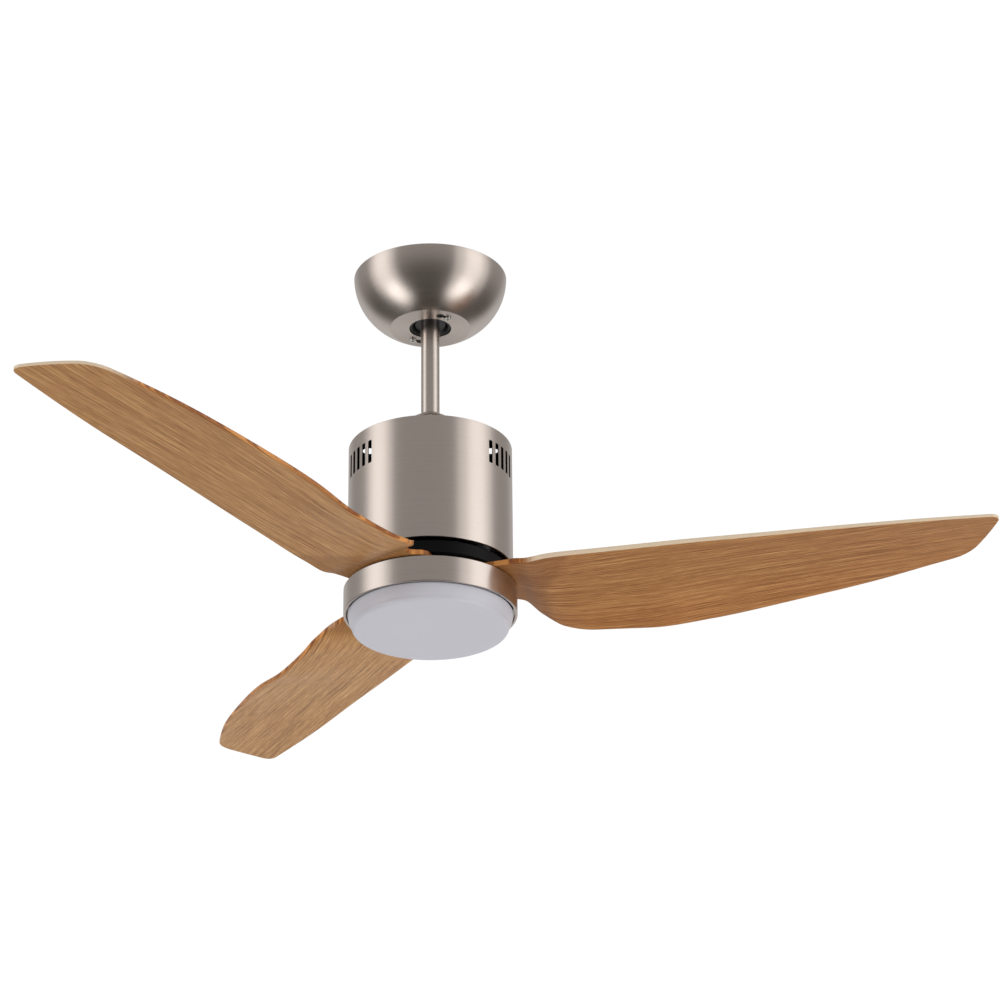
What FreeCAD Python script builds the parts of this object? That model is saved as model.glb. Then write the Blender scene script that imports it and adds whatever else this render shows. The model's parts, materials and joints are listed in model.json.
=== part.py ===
import FreeCAD, Part
import os, math
from FreeCAD import Vector as V

# Three-blade ceiling fan with a light: canopy, downrod, direct-drive motor in a
# cylindrical housing, three blades leaving the gap under the housing, and a round
# LED light with an opal diffuser. Millimetres, +Z up, origin on the ceiling plane.

os.makedirs("parts", exist_ok=True)

# ---------------------------------------------------------------- driving sizes
ROD_R, ROD_WALL = 11.0, 2.0          # downrod 22 mm tube
BALL_R, BALL_Z = 30.0, -38.0         # hanger ball and its centre
CUP_RI, CUP_RO = 32.4, 35.0          # spherical cup of the bracket
LINER_RI, LINER_RO = 30.3, 32.1      # nylon seat liner between ball and cup
FLANGE_RI = 22.0                     # opening under the ball
CAN_R, CAN_H, CAN_WALL = 91.9, 66.6, 1.2
CAN_FLAT_R, CAN_HOLE_R = 48.2, 25.1
KEY_R, KEY_AZ, KEY_TURN = 34.7, -53.0, 17.0   # keyhole circle, screw azimuth, twist
HOUS_R, HOUS_WALL = 96.5, 1.0
HOUS_TOP, HOUS_BOT = -230.5, -385.0
VENT_W, VENT_H, VENT_TOP = 6.0, 29.0, 18.0
VENT_STEP, VENT_GROUP = 6.85, 60.5
SHAFT_R, SHAFT_BORE = 10.0, 6.0
STATOR_R, STATOR_H, STATOR_Z = 58.0, 22.0, -346.0
HUB_R = 92.0
PAD_Z, PAD_T = -409.2, 6.5           # underside and thickness of a blade's root pad
RING_R, RING_WALL = 101.0, 1.2
RING_TOP, RING_BOT = -411.2, -442.5
DIFF_R, DIFF_BOT, DIFF_WALL = 91.9, -461.7, 2.0
BLADE_AZ0 = -9.87                    # azimuth of the first blade at rest
U = 96.5                             # scale of the blade table below

def deg(a): return a * math.pi / 180.0
def cyl(r, z0, z1, x=0, y=0): return Part.makeCylinder(r, z1 - z0, V(x, y, z0))
def tube(ro, ri, z0, z1, x=0, y=0): return cyl(ro, z0, z1, x, y).cut(cyl(ri, z0 - 1, z1 + 1, x, y))
def cylx(r, x0, x1, y, z): return Part.makeCylinder(r, x1 - x0, V(x0, y, z), V(1, 0, 0))
def cyly(r, y0, y1, x, z): return Part.makeCylinder(r, y1 - y0, V(x, y0, z), V(0, 1, 0))
def box(x0, y0, z0, x1, y1, z1): return Part.makeBox(x1 - x0, y1 - y0, z1 - z0, V(x0, y0, z0))
def turn(s, a, c=V(0, 0, 0), ax=V(0, 0, 1)):
    t = s.copy(); t.rotate(c, ax, a); return t
def at(s, x, y, z=0):
    t = s.copy(); t.translate(V(x, y, z)); return t
def polar(r, a): return r * math.cos(deg(a)), r * math.sin(deg(a))
def fuse(lst):
    s = lst[0]
    if len(lst) > 1: s = s.multiFuse(lst[1:])
    return s.removeSplitter()
def rev(edges, ang=360):
    w = Part.Wire(Part.__sortEdges__(edges))
    return Part.Face(w).revolve(V(0, 0, 0), V(0, 0, 1), ang)
def ln(a, b): return Part.makeLine(V(a[0], 0, a[1]), V(b[0], 0, b[1]))
def arc(a, m, b): return Part.Arc(V(a[0], 0, a[1]), V(m[0], 0, m[1]), V(b[0], 0, b[1])).toShape()
def revpoly(pts): return rev([ln(pts[i], pts[(i + 1) % len(pts)]) for i in range(len(pts))])
def sector(ro, ri, z0, z1, a0, a1):
    # ring sector from azimuth a0 to a1
    p = Part.makeCylinder(ro, z1 - z0, V(0, 0, z0), V(0, 0, 1), a1 - a0)
    p.rotate(V(0, 0, 0), V(0, 0, 1), a0)
    return p.cut(cyl(ri, z0 - 1, z1 + 1))
def slot_prism(w, l, z0, z1):
    # round-ended slot along X, total length l
    h = (l - w) / 2.0
    return fuse([box(-h, -w / 2, z0, h, w / 2, z1), cyl(w / 2, z0, z1, -h, 0), cyl(w / 2, z0, z1, h, 0)])
def hexprism(af, z0, z1, x=0, y=0):
    r = af / math.sqrt(3)
    pts = [V(x + r * math.cos(deg(60 * i)), y + r * math.sin(deg(60 * i)), z0) for i in range(6)]
    return Part.Face(Part.makePolygon(pts + [pts[0]])).extrude(V(0, 0, z1 - z0))
def screw_down(x, y, z_seat, shank_r, shank_l, head_r, head_h, cross=True):
    # head under the seat (at lower z), shank going up
    head = cyl(head_r, z_seat - head_h, z_seat, x, y)
    try: head = head.makeFillet(head_h * 0.45, [e for e in head.Edges if abs(e.BoundBox.ZMax - (z_seat - head_h)) < 1e-6 and e.Length > head_r])
    except Exception: pass
    s = head.fuse(cyl(shank_r, z_seat, z_seat + shank_l, x, y))
    if cross:
        a, b, d = head_r * 0.62, head_r * 0.16, head_h * 0.55
        s = s.cut(box(x - a, y - b, z_seat - head_h - 1, x + a, y + b, z_seat - head_h + d))
        s = s.cut(box(x - b, y - a, z_seat - head_h - 1, x + b, y + a, z_seat - head_h + d))
    return s.removeSplitter()
def screw_up(x, y, z_seat, shank_r, shank_l, head_r, head_h):
    # head above the seat, shank going down
    s = screw_down(0, 0, 0, shank_r, shank_l, head_r, head_h)
    s.rotate(V(0, 0, 0), V(1, 0, 0), 180)
    return at(s, x, y, z_seat)
def comp(lst): return Part.makeCompound(lst)

N = {}

# ---------------------------------------------------------------- ceiling bracket
plate = cyl(80.0, -2.5, 0.0).cut(cyl(15.0, -5, 1))
for sx in (-60, 60):
    plate = plate.cut(at(slot_prism(6.5, 24.0, -5, 1), sx, 0))
plate = plate.cut(at(slot_prism(30.0, 70.0, -5, 1), 0, -52))
plate = plate.cut(cyl(2.0, -5, 1, 40, -33))                      # earth screw hole
cup = rev([arc((CUP_RI, BALL_Z), (CUP_RI * math.cos(deg(-25)), BALL_Z + CUP_RI * math.sin(deg(-25))), (CUP_RI * math.cos(deg(-50)), BALL_Z + CUP_RI * math.sin(deg(-50)))),
           ln((CUP_RI * math.cos(deg(-50)), BALL_Z + CUP_RI * math.sin(deg(-50))), (CUP_RO * math.cos(deg(-50)), BALL_Z + CUP_RO * math.sin(deg(-50)))),
           arc((CUP_RO * math.cos(deg(-50)), BALL_Z + CUP_RO * math.sin(deg(-50))), (CUP_RO * math.cos(deg(-25)), BALL_Z + CUP_RO * math.sin(deg(-25))), (CUP_RO, BALL_Z)),
           ln((CUP_RO, BALL_Z), (CUP_RI, BALL_Z))])
# the cup's foot: a flange just above the canopy floor, joined to the cup by a short wall
foot = revpoly([(FLANGE_RI, -65.0), (42.0, -65.0), (42.0, -62.8), (25.2, -62.8), (25.2, -60.6), (FLANGE_RI, -62.2)])
wall = tube(25.0, 22.6, -64.0, -62.2)
legs = []
for sx in (-1, 1):
    legs.append(box(min(sx * 34.0, sx * 36.5), -14, -48.0, max(sx * 34.0, sx * 36.5), 14, -2.0))
sph = Part.makeSphere(CUP_RI, V(0, 0, BALL_Z))
br = fuse([cup, foot] + legs)
br = br.cut(sph)
br = fuse([br, revpoly([(25.6, -64.0), (22.0, -64.0), (22.0, -62.2), (22.6, -61.6), (23.4, -61.0), (25.6, -62.4)]).cut(sph)])
br = br.cut(box(-12.0, 0, -70, 12.0, 60, BALL_Z + 1))            # side opening that lets the rod in
br = fuse([br, plate])
for k in (0, 180):
    x, y = polar(KEY_R, KEY_AZ + k)
    br = br.cut(cyl(2.0, -70, -60, x, y))
N["hanger_bracket"] = br

x, y = polar(KEY_R, KEY_AZ)
scr = []
for k in (0, 180):
    x, y = polar(KEY_R, KEY_AZ + k)
    scr.append(screw_down(x, y, -CAN_H - 0.3, 1.95, 7.5, 4.0, 2.3))
N["canopy_screws"] = comp(scr)
tb = box(37.0, -13, -30.0, 50.0, 13, -13.0)
for yy in (-8.5, 0, 8.5):
    tb = tb.cut(cylx(2.6, 40.0, 51.0, yy, -24.0))
    tb = tb.cut(cyl(1.9, -20.0, -12.0, 44.5, yy))
tb = tb.fuse(box(36.5, -6, -24.0, 37.0, 6, -16.0)).removeSplitter()
N["terminal_block"] = tb
N["terminal_screws"] = comp([cyl(1.8, -19.9, -15.0, 44.5, yy).cut(box(42.5, yy - 0.35, -16.0, 46.5, yy + 0.35, -14.9)) for yy in (-8.5, 0, 8.5)])
rc = box(-40, 38, -22.5, 40, 70, -2.5)
rc = rc.makeFillet(3.0, [e for e in rc.Edges if abs(e.BoundBox.ZLength - 20) < 1e-6])
rc = rc.cut(cyly(2.2, 60, 71, -20, -12)).cut(cyly(2.2, 60, 71, 20, -12))
N["remote_receiver"] = rc
es = cyl(1.95, -8.0, -0.2, 40, -33).fuse(hexprism(7.0, -6.0, -2.5, 40, -33)).removeSplitter()
N["earth_screw"] = es

# ---------------------------------------------------------------- seat liner
def zone(ri, ro, a_top, a_bot):
    c = lambda r, a: (r * math.cos(deg(a)), BALL_Z + r * math.sin(deg(a)))
    m = (a_top + a_bot) / 2.0
    return rev([arc(c(ri, a_top), c(ri, m), c(ri, a_bot)), ln(c(ri, a_bot), c(ro, a_bot)), arc(c(ro, a_bot), c(ro, m), c(ro, a_top)), ln(c(ro, a_top), c(ri, a_top))])
ls = zone(LINER_RI, LINER_RO, 0.0, -44.0)
N["seat_liner"] = ls.cut(box(-12.0, 0, -75, 12.0, 60, BALL_Z + 3))

# ---------------------------------------------------------------- canopy
ci = CAN_WALL
can = rev([arc((CAN_R, -0.6), (77.2, -43.2), (CAN_FLAT_R, -CAN_H)), ln((CAN_FLAT_R, -CAN_H), (CAN_HOLE_R, -CAN_H)),
           ln((CAN_HOLE_R, -CAN_H), (CAN_HOLE_R, -CAN_H + ci)), ln((CAN_HOLE_R, -CAN_H + ci), (CAN_FLAT_R - 0.5, -CAN_H + ci)),
           arc((CAN_FLAT_R - 0.5, -CAN_H + ci), (76.2, -42.4), (CAN_R - ci, -0.6)), ln((CAN_R - ci, -0.6), (CAN_R, -0.6))])
for k in (0, 180):
    tool = [cyl(4.7, -70, -60, *polar(KEY_R, KEY_AZ - KEY_TURN + k)), cyl(2.4, -70, -60, *polar(KEY_R, KEY_AZ + k)),
            sector(KEY_R + 2.4, KEY_R - 2.4, -70, -60, KEY_AZ - KEY_TURN + k, KEY_AZ + k)]
    for t in tool: can = can.cut(t)
N["canopy"] = can

# ---------------------------------------------------------------- ball, pin and downrod
ball = Part.makeSphere(BALL_R, V(0, 0, BALL_Z)).common(cyl(40, BALL_Z - 24, BALL_Z + 24)).cut(cyl(ROD_R + 0.05, -80, 0))
ball = ball.cut(cylx(3.0, -40, 40, 0, BALL_Z + 6))
ball = ball.cut(tube(24.5, 18.0, BALL_Z + 12, BALL_Z + 30))      # lightening groove in the top face
N["hanger_ball"] = ball
N["ball_pin"] = cylx(3.0, -27.0, 27.0, 0, BALL_Z + 6)
ROD_TOP, ROD_BOT = -10.0, -260.4
rod = tube(ROD_R, ROD_R - ROD_WALL, ROD_BOT, ROD_TOP).cut(cylx(3.0, -20, 20, 0, BALL_Z + 6)).cut(cylx(3.05, -20, 20, 0, -250.0))
N["downrod"] = rod
# leads run beside the two cross pins, inside the rod
leads = []
for yy, rr in ((5.6, 1.5), (-5.6, 1.5)):
    leads.append(cyl(rr, -272.0, -9.0, 0, yy))
N["motor_leads"] = comp(leads)
gr = revpoly([(ROD_R + 1.2, ROD_TOP), (ROD_R + 1.2, ROD_TOP + 2.2), (7.4, ROD_TOP + 2.2), (7.4, ROD_TOP - 4), (ROD_R - ROD_WALL, ROD_TOP - 4), (ROD_R - ROD_WALL, ROD_TOP)])
N["rod_grommet"] = gr

# ---------------------------------------------------------------- coupling on top of the housing
TP1 = HOUS_TOP - 1.0                                             # top face of the housing's top plate
YK0, YK1 = HOUS_TOP - 30.0, HOUS_TOP + 26.0
yk = revpoly([(ROD_R + 0.05, YK0), (16.5, YK0), (16.5, TP1), (34.0, TP1), (34.0, TP1 + 4.0), (22.0, TP1 + 4.0), (16.5, TP1 + 9.5), (16.5, YK1), (ROD_R + 0.05, YK1)])
yk = yk.cut(cylx(3.05, -30, 30, 0, -250.0))
YSX = HOUS_TOP + 16.0
yk = yk.cut(cyly(2.5, -30, -5, 0, YSX)).cut(cyly(2.5, 5, 30, 0, YSX))
for k in range(3):
    x, y = polar(28.0, 30 + 120 * k)
    yk = yk.cut(cyl(2.2, HOUS_TOP - 8, TP1 + 5, x, y))
N["motor_yoke"] = yk
N["yoke_pin"] = cylx(3.0, -19.5, 19.5, 0, -250.0).cut(cyly(0.8, -5, 5, 18.0, -250.0))
N["cotter_pin"] = fuse([cyly(0.75, -5.5, 7.5, 18.0, -250.0), Part.makeTorus(2.2, 0.7, V(18.0, -7.4, -250.0), V(1, 0, 0))])
N["yoke_set_screws"] = comp([cyly(2.45, -20.0, -ROD_R - 0.02, 0, YSX).cut(cyly(1.2, -21.0, -18.0, 0, YSX)), cyly(2.45, ROD_R + 0.02, 20.0, 0, YSX).cut(cyly(1.2, 18.0, 21.0, 0, YSX))])
# coupling cover: a bell that stands on the housing and can be lifted up the rod
CC_H = 46.5
def bell(dr, dz):
    return [(38.0 - dr, 0.0), (37.4 - dr, 10.0), (34.0 - dr, 24.0 - dz * 0.6), (27.5 - dr * 0.8, 36.0 - dz * 0.9), (19.5, CC_H - 4.6 - dz), (12.6, CC_H - dz)]
zb = HOUS_TOP + 0.3
def bellcurve(pts):
    c = Part.BSplineCurve(); c.interpolate([V(p[0], 0, zb + p[1]) for p in pts]); return c.toShape()
bo, bi = bell(0, 0), bell(1.4, 1.4)
ccv = rev([bellcurve(bo), ln((12.6, zb + CC_H), (ROD_R + 0.4, zb + CC_H + 0.2)), ln((ROD_R + 0.4, zb + CC_H + 0.2), (ROD_R + 0.4, zb + CC_H - 1.6)),
           ln((ROD_R + 0.4, zb + CC_H - 1.6), (12.6, zb + CC_H - 1.4)), bellcurve(bi), ln((36.6, zb), (38.0, zb))])
N["coupling_cover"] = ccv

# ---------------------------------------------------------------- housing
sh = tube(HOUS_R, HOUS_R - HOUS_WALL, HOUS_BOT, HOUS_TOP)
sh = sh.fuse(tube(HOUS_R - 0.5, 90.0, HOUS_TOP - 1.0, HOUS_TOP)).fuse(tube(HOUS_R - 0.4, 94.2, HOUS_BOT, HOUS_BOT + 1.0)).removeSplitter()
def vent():
    z1 = HOUS_TOP - VENT_TOP; z0 = z1 - VENT_H; r = VENT_W / 2
    s = box(80, -r, z0, 110, r, z1)
    return s.makeFillet(0.9, [e for e in s.Edges if abs(e.BoundBox.XLength - 30) < 1e-6])
vt = vent(); tools = []
for g in (-90 - VENT_GROUP, -90 + VENT_GROUP, 90):
    for i in (-2, -1, 0, 1, 2):
        tools.append(turn(vt, g + i * VENT_STEP))
for t in tools: sh = sh.cut(t)
HS_R, HS_AZ = 92.7, (30, 150, 270)                                # screws through the shell's top lip
for a in HS_AZ: sh = sh.cut(cyl(1.3, -240, -220, *polar(HS_R, a)))
N["housing_shell"] = sh
TP0 = TP1 - 1.8
tp = tube(HOUS_R - HOUS_WALL - 0.05, 17.0, TP0, TP1)
for a in (183.4, 356.6, 60.0, 120.0): tp = tp.cut(cyl(9.3, -240, -230, *polar(71.6, a)))     # air and wiring holes
for k in range(3):
    x, y = polar(28.0, 30 + 120 * k)
    tp = tp.cut(cyl(2.2, -245, -230, x, y))
for a in HS_AZ: tp = tp.cut(cyl(1.3, -245, -220, *polar(HS_R, a)))
N["housing_top_plate"] = tp
N["housing_screws"] = comp([screw_up(*polar(HS_R, a), HOUS_TOP, 1.25, 5.5, 2.3, 1.4) for a in HS_AZ])
N["yoke_screws"] = comp([screw_up(*polar(28.0, 30 + 120 * k), TP1 + 4.0, 2.0, 12.0, 3.4, 2.6) for k in range(3)])

# ---------------------------------------------------------------- shaft and stator
sf = tube(SHAFT_R, SHAFT_BORE, -428.0, -290.0).fuse(revpoly([(SHAFT_BORE, -290.0), (22.0, -290.0), (22.0, -284.0), (16.5, -278.0), (16.5, HOUS_TOP - 30.0), (SHAFT_BORE, HOUS_TOP - 30.0)])).removeSplitter()
N["motor_shaft"] = sf.cut(cyl(8.6, -276.0, -255.0))
ST0, ST1 = STATOR_Z, STATOR_Z + STATOR_H
N["stator_hub"] = tube(26.0, SHAFT_R, ST0, ST1)
core = [tube(36.0, 26.0, ST0, ST1)]
NT = 12
for i in range(NT):
    t = box(35.0, -4.0, ST0, 56.0, 4.0, ST1)
    core.append(turn(t, 30 * i)); core.append(sector(STATOR_R, 54.5, ST0, ST1, 30 * i - 12.0, 30 * i + 12.0))
N["stator_core"] = fuse(core)
coils = []
for i in range(NT):
    c = box(37.5, -6.6, ST0 - 3.0, 53.6, 6.6, ST1 + 3.0)
    c = c.makeFillet(1.6, [e for e in c.Edges if abs(e.BoundBox.XLength - 16.1) < 1e-6])
    c = c.cut(box(30, -4.05, ST0 - 0.05, 60, 4.05, ST1 + 0.05))
    # keep adjacent coils apart
    w = math.tan(deg(14.2))
    lim = Part.Face(Part.makePolygon([V(0, 0, -400), V(80, -80 * w, -400), V(80, 80 * w, -400), V(0, 0, -400)])).extrude(V(0, 0, 150))
    coils.append(turn(c.common(lim), 30 * i))
N["stator_windings"] = comp(coils)

# bearings: inner races on the shaft, outer races and balls with the rotor
def inner(z0): return tube(13.2, SHAFT_R, z0, z0 + 12).cut(Part.makeTorus(15.5, 3.25, V(0, 0, z0 + 6)))
def outer(z0): return tube(21.0, 17.8, z0, z0 + 12).cut(Part.makeTorus(15.5, 3.25, V(0, 0, z0 + 6)))
BZ1, BZ0 = -316.0, -366.0
N["bearing_inner_races"] = comp([inner(BZ1), inner(BZ0)])
N["bearing_outer_races"] = comp([outer(BZ1), outer(BZ0)])
N["bearing_balls"] = comp([Part.makeSphere(3.05, V(*polar(15.5, 40 * i), z + 6)) for z in (BZ1, BZ0) for i in range(9)])
N["shaft_spacers"] = comp([tube(13.0, SHAFT_R, ST1, BZ1), tube(13.0, SHAFT_R, BZ0 + 12.0, ST0)])
N["shaft_circlips"] = comp([tube(12.4, SHAFT_R, BZ1 + 12.0, BZ1 + 13.2).cut(box(0, -1.5, -320, 20, 1.5, -290)), tube(12.4, SHAFT_R, BZ0 - 1.2, BZ0).cut(box(0, -1.5, -380, 20, 1.5, -360))])

# ---------------------------------------------------------------- rotor
RI, RO = 63.6, 66.6
N["rotor_magnets"] = comp([sector(62.8, 58.8, ST0 - 1, ST1 + 1, 25.714 * i + 0.6, 25.714 * i + 25.1) for i in range(14)])
N["rotor_back_iron"] = tube(66.0, 62.8, ST0 - 2, ST1 + 2)
BR = 21.0
rtc = revpoly([(BR, BZ1 + 12.6), (BR, BZ1 - 1.0), (25.0, BZ1 - 1.0), (25.0, -306.5), (66.2, -313.0), (66.2, -336.0), (76.0, -336.0), (76.0, -316.0), (70.0, -309.5), (26.0, -302.0)])
rbc = revpoly([(BR, BZ0 - 0.6), (BR, BZ0 + 12.0), (25.0, BZ0 + 12.0), (25.0, -361.5), (66.2, -357.0), (66.2, -336.0), (76.0, -336.0), (76.0, -358.0), (70.0, -363.0), (58.0, -366.6)])
rtop, rbot = rtc, rbc
for k in range(6):
    x, y = polar(71.0, 60 * k + 30)
    rtop = rtop.cut(cyl(1.8, -345, -300, x, y)).cut(cyl(3.2, -310.4, -300, x, y)); rbot = rbot.cut(cyl(1.75, -360, -330, x, y))
for k in range(6):
    a = 60 * k
    rtop = rtop.cut(turn(at(slot_prism(9.0, 24.0, -340, -290), 45, 0), a))
for k in range(6):
    x, y = polar(50.0, 60 * k + 30)
    rbot = rbot.cut(cyl(2.1, -372, -350, x, y))
N["rotor_top_cover"], N["rotor_bottom_cover"] = rtop, rbot
N["rotor_screws"] = comp([screw_up(*polar(71.0, 60 * k + 30), -310.4, 1.7, 38.0, 2.9, 2.4) for k in range(6)])
# blade hub: black carrier disc between the motor and the light
HT, HB = -387.2, PAD_Z + PAD_T
hub = revpoly([(24.0, HB), (HUB_R, HB), (HUB_R, HT - 1.2), (HUB_R - 1.2, HT), (HUB_R - 3.2, HT), (HUB_R - 3.2, HB + 5.0), (58.0, HB + 5.0), (58.0, -366.6), (42.0, -366.6), (42.0, HB + 5.0), (24.0, HB + 5.0)])
HUBS = []
for k in range(6):
    x, y = polar(50.0, 60 * k + 30)
    hub = hub.cut(cyl(2.1, -420, -360, x, y)).cut(cyl(4.4, -420, -394.0, x, y))
    HUBS.append(screw_down(x, y, -394.0, 2.05, 36.0, 4.0, 3.2))
N["hub_screws"] = comp(HUBS)

# ---------------------------------------------------------------- blades
# underside heights (table in units of U, measured from the housing's lower edge)
Z0 = HOUS_BOT
EDGE_A = [(0.50, -0.50), (0.80, -0.535), (0.98, -0.562), (1.20, -0.612), (1.50, -0.640), (2.13, -0.610), (3.10, -0.547), (4.13, -0.465), (5.35, -0.378), (6.20, -0.288), (6.865, -0.198)]
EDGE_B = [(0.50, 0.50), (0.66, 0.575), (0.78, 0.60), (0.87, 0.545), (0.95, 0.478), (1.03, 0.500), (1.14, 0.655), (1.28, 0.815), (1.50, 0.938), (1.90, 0.992), (2.43, 1.030), (3.30, 1.100), (4.27, 1.052), (5.356, 0.930), (6.02, 0.790), (6.44, 0.687)]
FLAT = (PAD_Z - Z0) / U
SECT = [  # u, height at v=-0.6, height at v=+0.9, thickness
    (0.3, FLAT, FLAT, PAD_T), (0.75, FLAT, FLAT, PAD_T), (1.08, FLAT, FLAT, PAD_T), (1.25, -0.27, -0.345, 6.4), (1.5, -0.245, -0.455, 6.2),
    (1.9, -0.22, -0.5, 6.0), (2.5, -0.175, -0.488, 5.8), (3.3, -0.118, -0.386, 5.5), (4.27, -0.058, -0.264, 5.0), (5.35, 0.001, -0.142, 4.5), (6.2, 0.05, -0.039, 4.1), (7.1, 0.094, 0.066, 3.7)]
def pchip(xs, ys, x):
    # monotone cubic interpolation: no overshoot between the table's rows
    n = len(xs); h = [xs[i + 1] - xs[i] for i in range(n - 1)]; d = [(ys[i + 1] - ys[i]) / h[i] for i in range(n - 1)]
    m = [d[0]] + [0.0] * (n - 2) + [d[-1]]
    for i in range(1, n - 1):
        if d[i - 1] * d[i] > 0:
            w1, w2 = 2 * h[i] + h[i - 1], h[i] + 2 * h[i - 1]
            m[i] = (w1 + w2) / (w1 / d[i - 1] + w2 / d[i])
    i = max(0, min(n - 2, sum(1 for q in xs if q <= x) - 1)); t = (x - xs[i]) / h[i]
    return (ys[i] * (1 + 2 * t) * (1 - t) ** 2 + m[i] * h[i] * t * (1 - t) ** 2 + ys[i + 1] * t * t * (3 - 2 * t) + m[i + 1] * h[i] * t * t * (t - 1))
SU = [q[0] for q in SECT]
def under(u, v):
    # height of the underside, in units of U above the housing's lower edge
    za, zb_ = pchip(SU, [q[1] for q in SECT], u), pchip(SU, [q[2] for q in SECT], u)
    k = max(0.0, min(1.0, (u - 1.2) / 0.8)) * (1.0 - 0.7 * max(0.0, min(1.0, (u - 5.0) / 2.0)))
    w = (v - 0.2) / 0.85
    return za + (zb_ - za) * (v + 0.6) / 1.5 + 0.030 * k * max(0.0, 1.0 - w * w)
VS = [-0.95, -0.55, -0.15, 0.25, 0.65, 1.0, 1.35]
def bl_section(u):
    lo = [V(u * U, v * U, Z0 + under(u, v) * U) for v in VS]
    th = pchip(SU, [q[3] for q in SECT], u)
    hi = [V(p.x, p.y, p.z + th) for p in lo]
    a = Part.BSplineCurve(); a.interpolate(lo); b = Part.BSplineCurve(); b.interpolate(hi)
    return Part.Wire([a.toShape(), Part.makeLine(lo[-1], hi[-1]), b.toShape(), Part.makeLine(hi[0], lo[0])])
slab = Part.makeLoft([bl_section(u) for u in (1.06, 1.13, 1.20, 1.30, 1.40, 1.55, 1.75, 2.0, 2.4, 2.9, 3.5, 4.2, 5.0, 5.8, 6.5, 7.1)], True, False)
pad = box(0.2 * U, -0.95 * U, PAD_Z, 1.06 * U, 1.35 * U, PAD_Z + PAD_T)
slab = slab.fuse(pad)
def crv(pts, z):
    c = Part.BSplineCurve(); c.interpolate([V(p[0] * U, p[1] * U, z) for p in pts]); return c
zp = Z0 - 80
ca, cb = crv(EDGE_A, zp), crv(EDGE_B, zp)
# round the two tip corners with arcs tangent to the edges
def planform():
    T, S = V(EDGE_A[-1][0] * U, EDGE_A[-1][1] * U, zp), V(EDGE_B[-1][0] * U, EDGE_B[-1][1] * U, zp)
    R0a, R0b = V(EDGE_A[0][0] * U, EDGE_A[0][1] * U, zp), V(EDGE_B[0][0] * U, EDGE_B[0][1] * U, zp)
    ea, eb = ca.toShape(), cb.toShape()
    mid = (T + S) * 0.5; d = S - T; n = V(-d.y, d.x, 0); n.normalize()
    if n.x < 0: n = n * -1
    end = Part.Arc(T, mid + n * 3.0, S).toShape()
    root = Part.makeLine(R0b, R0a)
    return Part.Face(Part.Wire([ea, end, eb.reversed(), root]))
pf = planform()
pris = pf.extrude(V(0, 0, 160))
def vedge(sh, pt, tol=1.0):
    return [e for e in sh.Edges if abs(e.BoundBox.ZLength - 160) < 1e-3 and (V(e.BoundBox.XMin, e.BoundBox.YMin, 0) - V(pt[0], pt[1], 0)).Length < tol]
T_, S_ = (EDGE_A[-1][0] * U, EDGE_A[-1][1] * U), (EDGE_B[-1][0] * U, EDGE_B[-1][1] * U)
pris = pris.makeFillet(10.0, vedge(pris, T_))
pris = pris.makeFillet(50.0, vedge(pris, S_))
blade = slab.common(pris)
print('blade', blade.isValid(), len(blade.Solids), round(blade.Volume), 'slab', slab.isValid(), len(slab.Solids), round(slab.Volume), [round(q, 2) for q in (blade.BoundBox.ZMin, blade.BoundBox.ZMax)])
BS = [(0.62, 0.0), (0.78, -0.30), (0.78, 0.30)]                   # screw places on the root pad (table units)
for (u, v) in BS: blade = blade.cut(cyl(2.6, -415, -395, u * U, v * U))
for k in range(3): N["blade_%d" % (k + 1)] = turn(blade, BLADE_AZ0 + 120 * k)
bsc, bws = [], []
for k in range(3):
    for (u, v) in BS:
        x, y = u * U, v * U
        s = screw_down(x, y, PAD_Z - 0.8, 2.3, 13.0, 4.2, 1.5)
        bsc.append(turn(s, BLADE_AZ0 + 120 * k))
        bws.append(turn(tube(5.5, 2.4, PAD_Z - 0.8, PAD_Z, x, y), BLADE_AZ0 + 120 * k))
        hub = hub.cut(turn(cyl(2.35, HB - 2, HB + 9.0, x, y), BLADE_AZ0 + 120 * k))
N["blade_screws"], N["blade_washers"] = comp(bsc), comp(bws)
N["blade_hub"] = hub

# ---------------------------------------------------------------- controller in the housing's upper space
N["controller_board"] = tube(50.0, 24.0, -272.6, -271.0).cut(box(-60, 20, -280, 60, 60, -265))
N["board_standoffs"] = comp([cyl(2.6, -271.0, TP0, *polar(44.0, a)).fuse(cyl(1.2, -274.6, -271.0, *polar(44.0, a))).fuse(cyl(2.6, -274.6, -272.6, *polar(44.0, a))).removeSplitter() for a in (-30, -90, -150)])
N["controller_board"] = N["controller_board"].cut(comp([cyl(1.25, -280, -265, *polar(44.0, a)) for a in (-30, -90, -150)]))
N["board_capacitors"] = comp([cyl(6.0, -271.0, -253.0, *polar(36.0, -60)), cyl(6.0, -271.0, -253.0, *polar(36.0, -120)), cyl(4.0, -271.0, -259.0, *polar(35.0, -10))])

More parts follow.
